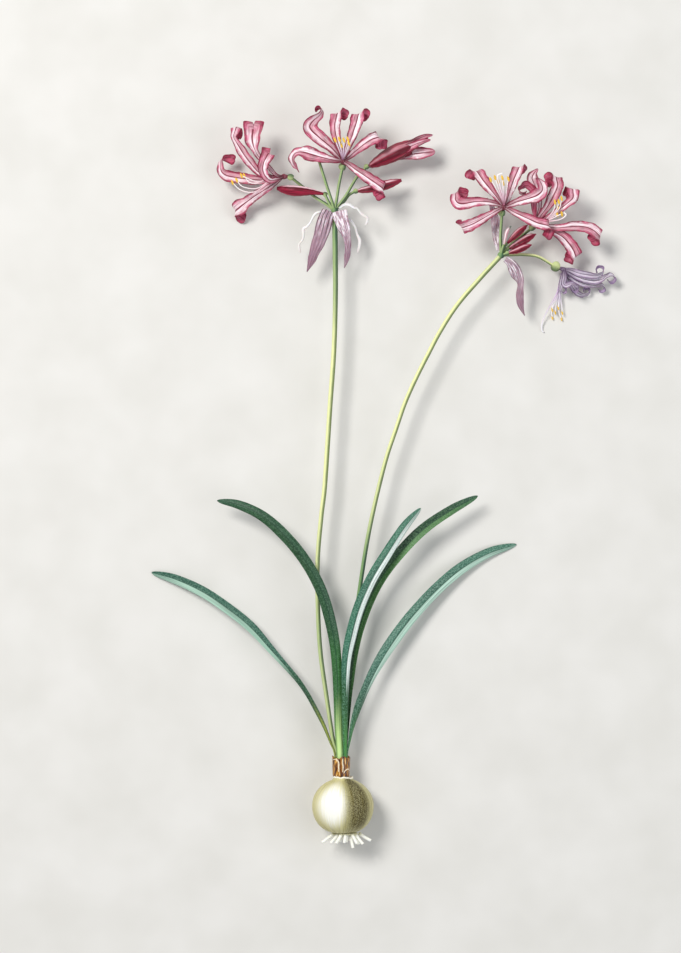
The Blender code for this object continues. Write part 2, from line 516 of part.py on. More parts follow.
def left_blooms():
    """Bloom facing left, bloom open to the sky, and a half-open bloom."""
    wavy = dict(wave=(0.35, 3.0))
    hooked = (0.35, 0.68, 1, 0.92, 0.55)
    fan = (0.34, 0.4, 0.44, 0.7, 1)
    made = [
        perianth("bloom_left", (-29.45, 314.2, 17.3), 1.4, [
            (4.8, (-70, -10, -60), (2.5, 0.55), [(-33.5, 316, 18.3), (-40, 319.8, 19.8), (-46.8, 325.2, 21),
                                                 (-51.6, 330.4, 21), (-54.8, 335.2, 20), (-55.4, 337.6, 19.4)]),
            (9.6, (-60, 0, 0), (2.4, 0.2), [(-32.4, 316.2, 19.8), (-35, 318.6, 21.4), (-39.5, 323.6, 23.4),
                                            (-43, 327.8, 24.6), (-44.8, 332.4, 25), (-44.6, 336.6, 24.6)], fan),
            (4.6, (-100, -15, -60), (3.8, 0.5), [(-33, 312.8, 20.8), (-36.8, 312.7, 23.2), (-39.4, 315.2, 25.2),
                                                 (-40.6, 318.6, 26.6)]),
            (5.2, (0, 0, -60), (3.0, 0.5), [(-33, 313.2, 15), (-38, 312.5, 13.6), (-45.5, 312.8, 12.4),
                                            (-52.6, 314.4, 12), (-58.2, 317, 11.6), (-60.6, 320.2, 11.2),
                                            (-60.9, 322.8, 11)]),
            (5.2, (60, 10, 45), (2.7, 0.5), [(-32.6, 311.6, 16.2), (-38.4, 307.9, 13.8), (-45, 303.8, 10.6),
                                             (-50, 300.9, 7.8), (-53, 298.6, 5.6)]),
            (4.2, (0, 0, 0), (2.0, 0.4), [(-32.8, 313.6, 13.6), (-38, 313.5, 10.6), (-45, 313.8, 7.6),
                                          (-51, 315, 6)]),
        ], **wavy),
        perianth("bloom_left_open", (-0.1, 321.6, 21.6), 1.45, [
            (5.8, (0, 0, 0, -30, -60), (1.6, 0.4), [(-3, 325, 23.8), (-6.4, 329, 25.5), (-11, 333, 27),
                                                    (-14.2, 336.8, 27.8), (-14.9, 340, 27.4),
                                                    (-12.7, 343.4, 26.2), (-10.4, 346.3, 25.2)], hooked),
            (5.6, (0, 0, -55), (2.2, 0.55), [(-0.9, 325.5, 24), (-2.2, 329.6, 25.8), (-3.4, 335, 27.4),
                                             (-3.6, 341, 27), (-2.9, 345.2, 25.8)]),
            (6.8, (0, 0, -50), (2.2, 0.5), [(1.2, 325.4, 24), (3.2, 330.2, 26), (5.4, 336.3, 27.4),
                                            (7, 341.3, 27), (7.9, 345, 25.8)]),
            (5.6, (0, 0, -50), (2.7, 0.5), [(3.2, 323.8, 23.8), (7.2, 327, 25.6), (12.2, 330.4, 27),
                                            (15.6, 332.4, 26.6), (17, 333, 26.2)]),
            (5.4, (0, 0, 20, 65), (0, 0), [(-4, 321.7, 23.6), (-9, 322.2, 25), (-15.2, 324, 26.4),
                                           (-20.4, 325, 26.4), (-24, 323.4, 25.4), (-25, 320.4, 24),
                                           (-23.6, 317.4, 22.8), (-22, 315.6, 22.2)],
             (0.34, 0.62, 1, 0.95, 0.4)),
            (5.4, (0, 0, -50), (2.8, 0.5), [(3, 319.6, 23.6), (6.6, 316.8, 25.2), (11.2, 313.6, 26.6),
                                            (16.2, 310.4, 26.4), (19.2, 308.2, 25.4)]),
        ], **wavy),
        perianth("bloom_half_open", (14.95, 320.3, 14.7), 1.45, [
            (5.0, (-120, -60, -20), (0, 0), [(17.4, 322.8, 15.2), (22.4, 326, 16), (30.6, 329.4, 17),
                                             (38.4, 333.2, 17.6), (44.6, 334.8, 17.8)]),
            (5.4, (-20, -10, 0), (0, 0), [(18.8, 322.2, 17), (25, 324.9, 18.4), (32, 328, 19), (38.4, 330.6, 19),
                                          (43.4, 332.2, 18.4)]),
            (4.8, (40, 30, 0), (0, 0), [(18, 319.8, 16), (22.4, 320.8, 16.8), (27, 322, 17), (30.6, 322.4, 16.6)]),
            (5.6, (150, 170, 180), (0, 0), [(18.5, 321.5, 12), (25, 324.4, 10.6), (33, 325, 9), (40, 326.8, 8),
                                            (46.4, 326.8, 7.4)]),
            (4.6, (-150, -160, -180), (0, 0), [(18.4, 323.0, 12.4), (24, 326, 11.6), (31, 329, 11.2),
                                               (38, 331.6, 11)]),
        ], outline=(0.5, 0.9, 1, 0.95, 0.6)),
    ]
    made += [
        stamens("bloom_left_stamens", (-33.9, 314.0, 18.0), [
            [(-37, 312.8, 18.8), (-41.5, 310.8, 19.4), (-46.6, 311, 20), (-49.2, 314.3, 20.4)],
            [(-37, 311.8, 19.6), (-43, 308, 20.6), (-50, 308.8, 21.4), (-53, 312, 21.8)],
            [(-37, 311.2, 17.8), (-44.6, 306.4, 18.4), (-51.2, 307.4, 19), (-55.2, 311, 19.2)],
            [(-37.4, 313, 19.8), (-43, 311.4, 21.2), (-50.6, 314.2, 22.2)],
        ], (-1.0, 2.4, 0.4), None),
        stamens("bloom_left_open_stamens", (-0.1, 322.6, 24.1), [
            [(-1.2, 325, 27.6), (-3, 329, 30.4), (-4, 331.2, 31.4)],
            [(-0.6, 325, 28.2), (-1.6, 329, 31), (-1.8, 331.4, 32)],
            [(0.2, 325, 28.6), (0.4, 329, 31.4), (0.4, 331, 32.6)],
            [(0.8, 324.8, 27.8), (1.8, 329, 30.4), (2.4, 331.6, 31.2)],
            [(1.2, 324.4, 28.8), (2.4, 327.6, 31.8), (2.9, 329.2, 32.8)],
            [(-0.4, 324.4, 27), (-0.8, 327.6, 29.4), (-0.8, 328.6, 30)],
        ], (-0.9, 2.3, 0.3), None),
    ]
    return made


def right_blooms():
    """Bloom open to the sky, bloom facing right, and the withered bloom on its fruit."""
    wavy = dict(wave=(0.35, 3.0))
    withered = dict(outline=(0.45, 0.85, 1, 0.85), trough=0.13, wave=(0.22, 4.0))
    made = [
        perianth("bloom_right_open", (80.2, 298.6, 22.4), 1.45, [
            (6.4, (0, 0, 50), (2.4, 0.5), [(78.2, 301.2, 24), (75.7, 304.2, 25.6), (71.8, 308.6, 27),
                                           (68.8, 312.9, 27), (67.2, 315.6, 26)]),
            (4.8, (0, 0, -55), (3.5, 0.5), [(77.4, 299.8, 23.8), (72.1, 301, 25), (66.8, 300.8, 26.2),
                                            (60.7, 300.7, 26.2), (57.6, 300.8, 25.6)]),
            (5.2, (0, 0, -45), (2.5, 0.5), [(77.6, 297.2, 23.6), (72.5, 294.3, 25), (66.8, 291, 26.2),
                                            (63.2, 289.1, 26), (60.4, 288, 25.2)]),
            (5.2, (0, 0, -45), (2.3, 0.5), [(81.6, 301.6, 24), (83.1, 306.5, 25.8), (84.9, 311.8, 27.2),
                                            (86.2, 316, 27), (86.8, 318, 26.2)]),
            (4.6, (0, 0, 0, 0, -20), (0, 0), [(82.8, 299.4, 24), (86.5, 300.6, 25.4), (91, 301.9, 26.8),
                                              (96.4, 304.2, 27.8), (99.8, 307.2, 28.2), (100.2, 311, 27.8),
                                              (98.3, 314.8, 26.8)], (0.34, 0.6, 1, 1, 0.45)),
            (5.2, (0, 0, -45), (2.3, 0.5), [(82.4, 297.4, 23.8), (86.4, 295.2, 25.2), (91.8, 292.6, 26.4),
                                            (97.1, 290, 26.6), (102, 288.9, 25.8)]),
        ], **wavy),
        perianth("bloom_right", (97.0, 291.0, 16.3), 1.45, [
            (3.6, (60, 60, 60), (1.6, 0.2), [(95.6, 294.4, 18), (95, 298.6, 20), (95, 304, 21.4), (94.3, 308.4, 22),
                                             (91.6, 310.4, 22.4), (88.2, 308.4, 22.4), (87.3, 305.4, 22.2)]),
            (4.4, (40, 50, 60), (1.7, 0.5), [(97, 295, 17.2), (97.6, 300, 18), (97.4, 306, 18.4), (96.6, 311, 18.8),
                                             (96, 314, 19)]),
            (5.4, (-20, 0, 65), (2.5, 0.6), [(98.7, 294.4, 18), (102.2, 299, 20.4), (104.8, 304, 21.8),
                                             (106.8, 309, 22), (106.4, 312.8, 21.8)]),
            (5.2, (0, 0, 65), (2.4, 0.6), [(100.4, 292.8, 17.6), (104.5, 294.8, 18.8), (108.2, 296.9, 19.8),
                                           (113, 300, 20.8), (116, 303, 21.2), (116.8, 305.4, 21)]),
            (4.8, (0, 0, -60), (2.6, 0.6), [(100.4, 289.8, 16.4), (105, 288.4, 17), (110, 288.4, 17.6),
                                            (115.5, 288.9, 18.2), (121.5, 288.4, 18.2), (125.6, 286.8, 17.6),
                                            (127.6, 284.8, 17)]),
            (5.6, (0, 0, -60), (2.2, 0.55), [(99.8, 289, 15.6), (104.6, 287, 15.4), (109.5, 284.4, 15.2),
                                             (113.2, 281, 14.2), (115.6, 277.4, 12.8), (116.1, 275.2, 11.8)]),
        ], **wavy),
        perianth("bloom_withered", (110.9, 268.3, 8.6), 1.2, [
            (3.3, (0, 0, 60), (2.5, 0.6), [(114.2, 267.8, 9.6), (117.5, 266.6, 10.2), (122.9, 265.4, 10.4),
                                            (127, 265.2, 10.4), (129.4, 266, 10.2)]),
            (3.4, (0, 0, -60), (2.3, 0.55), [(114.4, 266.3, 8.6), (120.3, 263.6, 8), (125.7, 262.6, 7.4),
                                             (129.8, 263, 7.2), (132, 264.6, 7.4), (134, 265.3, 7.4)]),
            (3.4, (0, 0, -60), (1.7, 0.45), [(113.8, 265.4, 6.8), (116.8, 263.2, 5.6), (121, 261.4, 4.8),
                                             (125.7, 260.5, 4.4), (130, 260.4, 4)]),
            (2.8, (0, 0, 60), (1.9, 0.55), [(112.4, 264.8, 7), (114.4, 261.6, 5.2), (117, 257.9, 3.8),
                                            (120, 255.9, 3.4), (122.6, 256, 3.2)]),
            (2.3, (0, 20, -40), (1.4, 0.35), [(111.3, 264.6, 10.1), (110.8, 261, 10.9), (112, 260, 11.5),
                                              (114.9, 260.9, 11.5), (117.2, 259.6, 10.9)]),
            (2.3, (0, 0, 60), (1.4, 0.5), [(110.4, 264.8, 8.4), (109.7, 261.2, 8), (109.6, 258, 7)]),
        ], surface=WITHERED_LILAC, **withered),
    ]
    made += [
        stamens("bloom_right_open_stamens", (80.1, 299.8, 24.9), [
            [(78.6, 302.6, 28), (75.4, 308, 30.6), (73.2, 311.4, 31.4)],
            [(78.8, 303, 28.6), (76.6, 308.6, 31.2), (75.4, 312.4, 32)],
            [(79.2, 302.6, 27.6), (77.8, 307.6, 29.8), (77.2, 310.6, 30.4)],
            [(79.8, 303, 28.8), (79.2, 308.6, 31.6), (79, 312.2, 32.4)],
            [(80.2, 302.6, 27.4), (79.8, 307, 29.4), (79.5, 309.8, 30)],
            [(80.8, 302.8, 28.2), (81.4, 308, 30.8), (82, 311.8, 31.6)],
        ], (-0.7, 2.4, 0.3), [(79.4, 303, 29.2), (77.6, 309, 32), (76.5, 313.2, 33), (79, 314.6, 33.2)]),
        stamens("bloom_right_stamens", (99.2, 291.4, 18.7), [
            [(102.4, 293.6, 22.6), (105, 297.2, 24.6), (105.5, 300.8, 25.4)],
            [(102.6, 293.4, 22.2), (106.2, 297, 24), (107.4, 301, 25)],
            [(103, 293.2, 22), (107.6, 297.6, 24), (108.8, 302.6, 25.2)],
            [(102.8, 293, 21.8), (105.8, 296, 23.2), (107, 298.2, 23.8)],
            [(102.8, 292.6, 21.4), (105.2, 294.2, 22.4), (106.8, 294.8, 22.8)],
            [(103.2, 292.4, 21.8), (107, 294.2, 23.4), (109, 295, 23.8)],
        ], (-0.5, 2.4, 0.3), [(103.4, 291.6, 21.4), (108.3, 292.4, 22.8), (111, 294.4, 23.6), (110, 295.8, 23.8)]),
        stamens("bloom_withered_stamens", (109.9, 265.9, 6.3), [
            [(109, 262, 5.6), (108.2, 255, 4.6), (106, 251, 4), (105.4, 248.2, 3.8)],
            [(109.2, 262, 5), (108.6, 255, 3.8), (107.2, 250, 3), (107, 247, 2.8)],
            [(109.4, 262, 5.4), (109, 255, 4.4), (108.6, 251.4, 4), (108.4, 249.2, 3.8)],
            [(109.6, 262, 4.8), (109.6, 255, 3.4), (110.2, 250, 2.8), (110.5, 246.8, 2.6)],
            [(109, 262, 4.6), (107.6, 255, 3), (105.2, 249, 1.8), (105.6, 244.4, 1.2)],
            [(109.4, 262, 4.4), (109.2, 254, 2.6), (108.8, 248, 1.6), (110.2, 243.8, 1.2)],
        ], (-0.5, 2.4, -0.2), [(108.8, 261, 6), (107.6, 256.6, 6), (106, 253.4, 5.8), (103.8, 249.4, 4.6),
                               (101.5, 244.8, 3), (100.3, 241, 1.8), (100.5, 237.6, 0.9), (101.4, 237.2, 0.8)]),
    ]
    return made


def lay_down():
    """Stand the whole plant on its own middle: one parent, moved so that the box's base is centred."""
    parent = bpy.data.objects.new("nerine", None)
    PLANT.objects.link(parent)
    low = np.full(3, np.inf)
    high = np.full(3, -np.inf)
    for thing in [o for o in PLANT.objects if o.type == "MESH"]:
        corners = np.empty(len(thing.data.vertices) * 3)
        thing.data.vertices.foreach_get("co", corners)
        corners = corners.reshape(-1, 3)
        low = np.minimum(low, corners.min(axis=0))
        high = np.maximum(high, corners.max(axis=0))
        thing.parent = parent
    middle = (low + high) / 2
    parent.location = (-middle[0], -middle[1], -low[2])


bulb()
roots()
neck_tunic()
leaves()
left_flower_stem()
right_flower_stem()
spathes()
buds()
left_blooms()
right_blooms()
lay_down()
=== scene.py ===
"""The looks of a nerine plant, lifted from the ground and laid on a pale table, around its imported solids.

Lengths are millimetres from the middle of the bulb's resting place, and become metres in the mesh.
X runs across the plant, Y along it from the bulb to the flowers, Z up from the table.
"""

import math

import bpy
import numpy as np
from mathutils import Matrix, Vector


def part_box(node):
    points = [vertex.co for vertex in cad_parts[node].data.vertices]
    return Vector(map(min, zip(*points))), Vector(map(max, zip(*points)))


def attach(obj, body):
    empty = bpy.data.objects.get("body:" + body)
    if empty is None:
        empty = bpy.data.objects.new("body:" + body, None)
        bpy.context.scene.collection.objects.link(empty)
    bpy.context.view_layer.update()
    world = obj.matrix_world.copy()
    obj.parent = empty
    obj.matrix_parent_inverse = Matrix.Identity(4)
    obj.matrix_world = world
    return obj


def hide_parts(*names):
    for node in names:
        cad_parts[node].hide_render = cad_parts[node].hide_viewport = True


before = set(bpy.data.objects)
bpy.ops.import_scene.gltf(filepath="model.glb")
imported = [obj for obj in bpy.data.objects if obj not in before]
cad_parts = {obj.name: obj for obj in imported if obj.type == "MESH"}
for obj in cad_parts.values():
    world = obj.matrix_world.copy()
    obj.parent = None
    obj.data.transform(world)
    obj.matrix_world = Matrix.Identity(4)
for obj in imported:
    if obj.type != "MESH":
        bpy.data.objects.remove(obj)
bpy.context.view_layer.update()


# Table, daylight and view
# The lifted plant lies flat on a pale table. A large soft lamp stands to the left behind the flowers,
# as a north window would, and a weaker one fills from the right. The camera hangs far above the plant
# and looks straight down through a long lens, so that nothing leans.
MM = 0.001
LENS = 135.0
SENSOR = 36.0
VIEW_HEIGHT = 476.5
VIEW_CENTRE = (-1.25, 164.25)
BLOOM_PLANE = 17.0
bulb_low, bulb_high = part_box("bulb")
BULB_END = 13.9
SHIFT = np.array([(bulb_low.x + bulb_high.x) / 2, bulb_high.y - BULB_END * MM, 0.0])


def placed(points):
    """Points of the plant in metres: millimetres scaled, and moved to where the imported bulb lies."""
    return np.asarray(points, dtype=float) * MM + SHIFT


def linear(colour):
    """The linear colour of an sRGB hex value: each part to the power 2.4, with a straight foot."""
    parts = [int(colour[k:k + 2], 16) / 255 for k in (1, 3, 5)]
    return (*[p / 12.92 if p <= 0.04045 else ((p + 0.055) / 1.055) ** 2.4 for p in parts], 1.0)


def feed(tree, socket, value):
    """Set a socket to a value, or to a colour given as hex, or link it to a node's first live output.

    One of a node's other outputs can be given too.
    """
    if isinstance(value, bpy.types.Node):
        value = next(output for output in value.outputs if output.enabled)
    if isinstance(value, bpy.types.NodeSocket):
        tree.links.new(value, socket)
    else:
        socket.default_value = linear(value) if isinstance(value, str) else value


def add(surface, kind, inputs=(), stops=(), **settings):
    """A node of that kind with its settings. The inputs feed its live sockets in their order."""
    node = surface.node_tree.nodes.new("ShaderNode" + kind)
    for name, value in settings.items():
        setattr(node, name, value)
    live = [socket for socket in node.inputs if socket.enabled]
    for socket, value in zip(live, inputs):
        feed(surface.node_tree, socket, value)
    for number, (place, colour) in enumerate(stops):
        bands = node.color_ramp.elements
        band = bands[number] if number < 2 else bands.new(place)
        band.position = place
        band.color = linear(colour)
    return node


def finish_of(name, **values):
    """A new surface: the values that are the same all over it sit on its shader's own sockets."""
    surface = bpy.data.materials.new(name)
    surface.use_nodes = True
    shader = surface.node_tree.nodes["Principled BSDF"]
    for socket, value in values.items():
        shader.inputs[socket.replace("_", " ")].default_value = value
    return surface


def dress(surface, colour, relief=None):
    """Link a surface's shader to its colour and, where it has one, to its relief."""
    tree = surface.node_tree
    shader = tree.nodes["Principled BSDF"]
    feed(tree, shader.inputs["Base Color"], colour)
    if relief is not None:
        feed(tree, shader.inputs["Normal"], relief)


camera_data = bpy.data.cameras.new("camera")
camera_data.lens = LENS
camera_data.sensor_width = SENSOR
camera_data.clip_end = 20.0
camera = bpy.data.objects.new("camera", camera_data)
camera.location = placed([*VIEW_CENTRE, BLOOM_PLANE + VIEW_HEIGHT * LENS / SENSOR])
bpy.context.scene.collection.objects.link(camera)
bpy.context.scene.camera = camera

# Painted board: matt, almost white, with the faint cloudiness of a rolled coat 30 mm across.
board = finish_of("pale_painted_board", Roughness=0.85)
position = add(board, "TexCoord").outputs["Object"]
clouds = add(board, "TexNoise", (position, 33.0, 2.0))
tones = add(board, "ValToRGB", (clouds,), [(0.3, "#d9d7d2"), (0.7, "#e0deda")])
dress(board, tones)
FLOOR_REACH = 4.0
FLOOR_LINES = 9
edge = np.linspace(-FLOOR_REACH, FLOOR_REACH, FLOOR_LINES)
floor_x, floor_y = np.meshgrid(edge, edge)
floor_points = np.stack([floor_x, floor_y, np.zeros_like(floor_x)], axis=-1).reshape(-1, 3)
cell = np.arange(FLOOR_LINES**2).reshape(FLOOR_LINES, FLOOR_LINES)
floor_faces = np.stack([cell[:-1, :-1], cell[:-1, 1:], cell[1:, 1:], cell[1:, :-1]], axis=-1).reshape(-1, 4)
floor_mesh = bpy.data.meshes.new("table_top")
floor_mesh.from_pydata(floor_points.tolist(), [], floor_faces.tolist())
floor_mesh.materials.append(board)
floor = bpy.data.objects.new("table_top", floor_mesh)
bpy.context.scene.collection.objects.link(floor)

for lamp_name, place, size, power, colour in (
        ("window_lamp", (-0.68, 0.62, 1.45), 0.6, 22.0, (1.0, 0.985, 0.96)),
        ("fill_lamp", (1.1, -0.3, 1.3), 1.4, 9.0, (0.94, 0.97, 1.0))):
    lamp_data = bpy.data.lights.new(lamp_name, "AREA")
    lamp_data.shape = "DISK"
    lamp_data.size = size
    lamp_data.energy = power
    lamp_data.color = colour
    lamp = bpy.data.objects.new(lamp_name, lamp_data)
    lamp.location = place
    aim = -np.array(place)
    lamp.rotation_euler = (math.atan2(math.hypot(aim[0], aim[1]), -aim[2]), 0.0,
                           math.atan2(aim[1], aim[0]) - math.pi / 2)
    bpy.context.scene.collection.objects.link(lamp)
sky = bpy.data.worlds.new("soft_studio")
sky.use_nodes = True
daylight = sky.node_tree.nodes["Background"]
daylight.inputs["Color"].default_value = linear("#e9ecef")
daylight.inputs["Strength"].default_value = 0.45
bpy.context.scene.world = sky
bpy.context.scene.view_settings.view_transform = "Standard"


# Bulb
# A fleshy bulb of wrapped leaf bases, cream white, a little wider than long. It has lost its brown coats,
# so the fine upright veins of the scale under them show, and their torn pale edge stands round the neck.
BULB_CENTRE = (0.0, 0.0, 15.0)
BULB_RADIUS = 15.4
BULB_HALF = 13.8
BULB_BASE = -13.7
BULB_NECK = 5.3
FOOT_ANGLE = 163.5
FULLER_FOOT = 0.74


def turned(profile, centre, around, swell):
    """Rings about a line along Y: for each radius and distance along, a circle about the line.

    The swell is a function of the turn and of the place along that gives small changes of radius.
    """
    turn = np.linspace(0.0, 2 * np.pi, around, endpoint=False)
    radius, along = (np.array(column)[:, None] for column in zip(*profile))
    radius = radius + swell(turn[None, :], along)
    ring_x = centre[0] + radius * np.sin(turn)
    ring_z = centre[2] + radius * np.cos(turn)
    rings = np.stack([ring_x, centre[1] + along + 0 * ring_x, ring_z], axis=-1)
    share = np.linspace(0.0, 1.0, len(profile))[:, None] + 0 * turn
    marks = np.stack([np.sin(turn) + 0 * share, share, np.cos(turn) + 0 * share], axis=-1)
    return rings, marks


def shell(rings, marks, tint=(0.5, 0.5, 0.0), finish=0):
    """A closed skin over rings of points: four-sided faces between rings, and a fan over each end.

    Each ring runs anticlockwise seen from the end that the rings go to, so the faces point outwards.
    """
    steps, around = rings.shape[:2]
    index = np.arange(steps * around).reshape(steps, around)
    after = np.roll(index, -1, axis=1)
    walls = np.stack([index[:-1], after[:-1], after[1:], index[1:]], axis=-1).reshape(-1, 4)
    first = np.full(around, steps * around)
    fans = np.vstack([np.stack([first, after[0], index[0]], axis=-1),
                      np.stack([first + 1, index[-1], after[-1]], axis=-1)])
    points = np.vstack([rings.reshape(-1, 3), rings[0].mean(axis=0), rings[-1].mean(axis=0)])
    notes = np.vstack([marks.reshape(-1, 3), marks[0].mean(axis=0), marks[-1].mean(axis=0)])
    return dict(points=points, faces=walls.tolist() + fans.tolist(), marks=notes,
                tint=np.tile(np.array(tint, dtype=float), (len(points), 1)), finish=finish)


def make(node, shells, surfaces):
    """One piece of closed skins, in place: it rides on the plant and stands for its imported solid."""
    starts = np.cumsum([0] + [len(skin["points"]) for skin in shells]).tolist()
    faces = [[corner + start for corner in face]
             for skin, start in zip(shells, starts) for face in skin["faces"]]
    points = np.vstack([skin["points"] for skin in shells])
    mesh = bpy.data.meshes.new("grown_" + node)
    mesh.from_pydata(placed(points).tolist(), [], faces)
    for label in ("marks", "tint"):
        column = mesh.attributes.new(label, "FLOAT_VECTOR", "POINT")
        column.data.foreach_set("vector", np.vstack([skin[label] for skin in shells]).ravel())
    for surface in surfaces:
        mesh.materials.append(surface)
    kinds = [skin["finish"] for skin in shells for face in skin["faces"]]
    mesh.polygons.foreach_set("material_index", kinds)
    mesh.shade_smooth()
    piece = bpy.data.objects.new("grown_" + node, mesh)
    bpy.context.scene.collection.objects.link(piece)
    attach(piece, "root")
    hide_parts(node)


# One range of values passes into another with a soft start and end.
SOFT = dict(interpolation_type="SMOOTHSTEP")
# The share of a pixel over which the slope of a relief is measured.
SLOPE_WIDTH = 0.1

# Fleshy bulb scale: waxy and damp, cream with upright veins 0.7 mm apart. A broad whiter patch left of its
# middle is a painted highlight, and olive freckles 0.5 mm apart on the other flank are painted shade.
scale_skin = finish_of("waxy_bulb_scale", Roughness=0.4, Specular_IOR_Level=0.2, Subsurface_Weight=0.1,
                       Subsurface_Scale=0.001, Subsurface_Radius=(1.0, 0.9, 0.6))
mark = add(scale_skin, "Attribute", attribute_name="marks").outputs["Vector"]
across, along, up = add(scale_skin, "SeparateXYZ", (mark,)).outputs
position = add(scale_skin, "TexCoord").outputs["Object"]
around_bulb = add(scale_skin, "Math", (across, up), operation="ARCTAN2")
vein_place = add(scale_skin, "CombineXYZ", (around_bulb, along))
stretch = add(scale_skin, "VectorMath", (vein_place, (22.0, 2.4, 1.0)), operation="MULTIPLY")
veins = add(scale_skin, "TexNoise", (stretch, 1.0, 3.0))
freckles = add(scale_skin, "TexNoise", (position, 2100.0, 2.0))
fleshy = add(scale_skin, "ValToRGB", (veins,), [(0.30, "#a59a58"), (0.66, "#e3dda8")])
from_highlight = add(scale_skin, "VectorMath", (mark, (0.36, -0.52, 0.0)), operation="ADD")
squashed = add(scale_skin, "VectorMath", (from_highlight, (1.8, 2.7, 0.0)), operation="MULTIPLY")
highlight_distance = add(scale_skin, "VectorMath", (squashed,), operation="LENGTH")
frayed = add(scale_skin, "Math", (veins, 0.9, highlight_distance), operation="MULTIPLY_ADD")
painted_highlight_share = add(scale_skin, "MapRange", (frayed, 0.85, 1.6, 1.0, 0.0), **SOFT)
highlighted = add(scale_skin, "Mix", (painted_highlight_share, fleshy, "#fffef4"), data_type="RGBA")
# Painted shade: olive freckles over the right flank, fading at its far rim and towards the foot.
shaded = add(scale_skin, "MapRange", (across, -0.12, 0.42), **SOFT)
rim_light = add(scale_skin, "MapRange", (across, 0.72, 1.0, 1.0, 0.0), **SOFT)
foot_light = add(scale_skin, "MapRange", (along, 0.05, 0.30, 0.45, 1.0), **SOFT)
speck = add(scale_skin, "MapRange", (freckles, 0.38, 0.62, 0.56, 1.0))
flank_share = add(scale_skin, "Math", (shaded, rim_light), operation="MULTIPLY")
patchy = add(scale_skin, "Math", (flank_share, foot_light), operation="MULTIPLY")
painted_shade_share = add(scale_skin, "Math", (patchy, speck), operation="MULTIPLY", use_clamp=True)
painted_shade_flank = add(scale_skin, "Mix", (painted_shade_share, highlighted, "#332700"), data_type="RGBA")
torn_edge = add(scale_skin, "MapRange", (along, 0.922, 0.938), **SOFT)
collared = add(scale_skin, "Mix", (torn_edge, painted_shade_flank, "#fbf7e4"), data_type="RGBA")
relief = add(scale_skin, "Bump", (0.5, 0.00025, SLOPE_WIDTH, veins))
dress(scale_skin, collared, relief)


def bulb_rings():
    """A ball squashed along Y, fuller towards its foot, with a short neck and a ragged rim.

    The radius is the sine of the angle from the neck, to a power below 1 past the widest place. The bulb
    is cut flat where it lies.
    """
    angle = np.linspace(math.radians(FOOT_ANGLE), math.asin(BULB_NECK / BULB_RADIUS), 56)
    powers = np.where(angle > math.pi / 2, FULLER_FOOT, 1.0)
    profile = [(0.02, BULB_BASE + 0.2), (3.6, BULB_BASE)]
    profile += zip(BULB_RADIUS * np.sin(angle)**powers, BULB_HALF * np.cos(angle) - 0.5)
    profile += [(5.1, 13.1), (5.15, 13.6), (5.0, 14.05), (4.8, 13.9), (4.5, 13.5), (0.02, 13.5)]

    def swell(turn, along):
        middle = np.clip(1 - (along / BULB_END)**2, 0.0, 1.0)
        scales = 0.10 * np.sin(3 * turn + 0.7) + 0.05 * np.sin(17 * turn) + 0.03 * np.sin(41 * turn + along)
        return middle * scales

    rings, marks = turned(profile, BULB_CENTRE, 120, swell)
    turn = np.arctan2(rings[..., 0], rings[..., 2] - BULB_CENTRE[2])
    ragged = 0.35 * np.sin(2 * turn + 2.4) + 0.22 * np.sin(5 * turn) + 0.15 * np.sin(11 * turn + 1)
    rings[..., 1] += ragged * np.clip((rings[..., 1] - 12.6) / 1.2, 0.0, 1.0)
    rings[..., 2] = np.maximum(rings[..., 2], 0.0)
    return rings, marks


make("bulb", [shell(*bulb_rings())], [scale_skin])


# Roots
# The basal plate is the bulb's short stem: a corky disc, a little green. White fleshy roots, trimmed to
# a few millimetres for lifting, spread from it.
GAP = 0.3
PLATE_TOP = BULB_BASE - GAP
ROOTS_X = 2.0
PATH_STEPS = 16


def unit(vectors):
    """The directions of the vectors."""
    return vectors / np.linalg.norm(vectors, axis=-1, keepdims=True)


def beside(heading):
    """The level directions to the left of the headings, and those square to both, on top."""
    left = unit(np.cross([0.0, 0.0, 1.0], heading))
    return left, np.cross(heading, left)


def smooth_path(points):
    """A Catmull-Rom curve through the points: each span bends by its neighbours' positions."""
    knots = np.array(points, dtype=float)
    ends = np.vstack([2 * knots[0] - knots[1], knots, 2 * knots[-1] - knots[-2]])
    t = np.linspace(0.0, 1.0, PATH_STEPS, endpoint=False)[:, None]
    a, b, c, d = (ends[k:len(ends) - 3 + k, None] for k in range(4))
    bend = (2 * a - 5 * b + 4 * c - d) * t**2 + (3 * b - a - 3 * c + d) * t**3
    spans = b + 0.5 * ((c - a) * t + bend)
    return np.vstack([spans.reshape(-1, 3), knots[-1:]])


def eased(values, s):
    """Values spaced evenly over 0 to 1, with a soft step from each to the next."""
    values = np.array(values, dtype=float)
    place = np.clip(s, 0.0, 1.0) * (len(values) - 1)
    low = np.minimum(place.astype(int), len(values) - 2)
    step = place - low
    step = step * step * (3 - 2 * step)
    return values[low] * (1 - step) + values[low + 1] * step


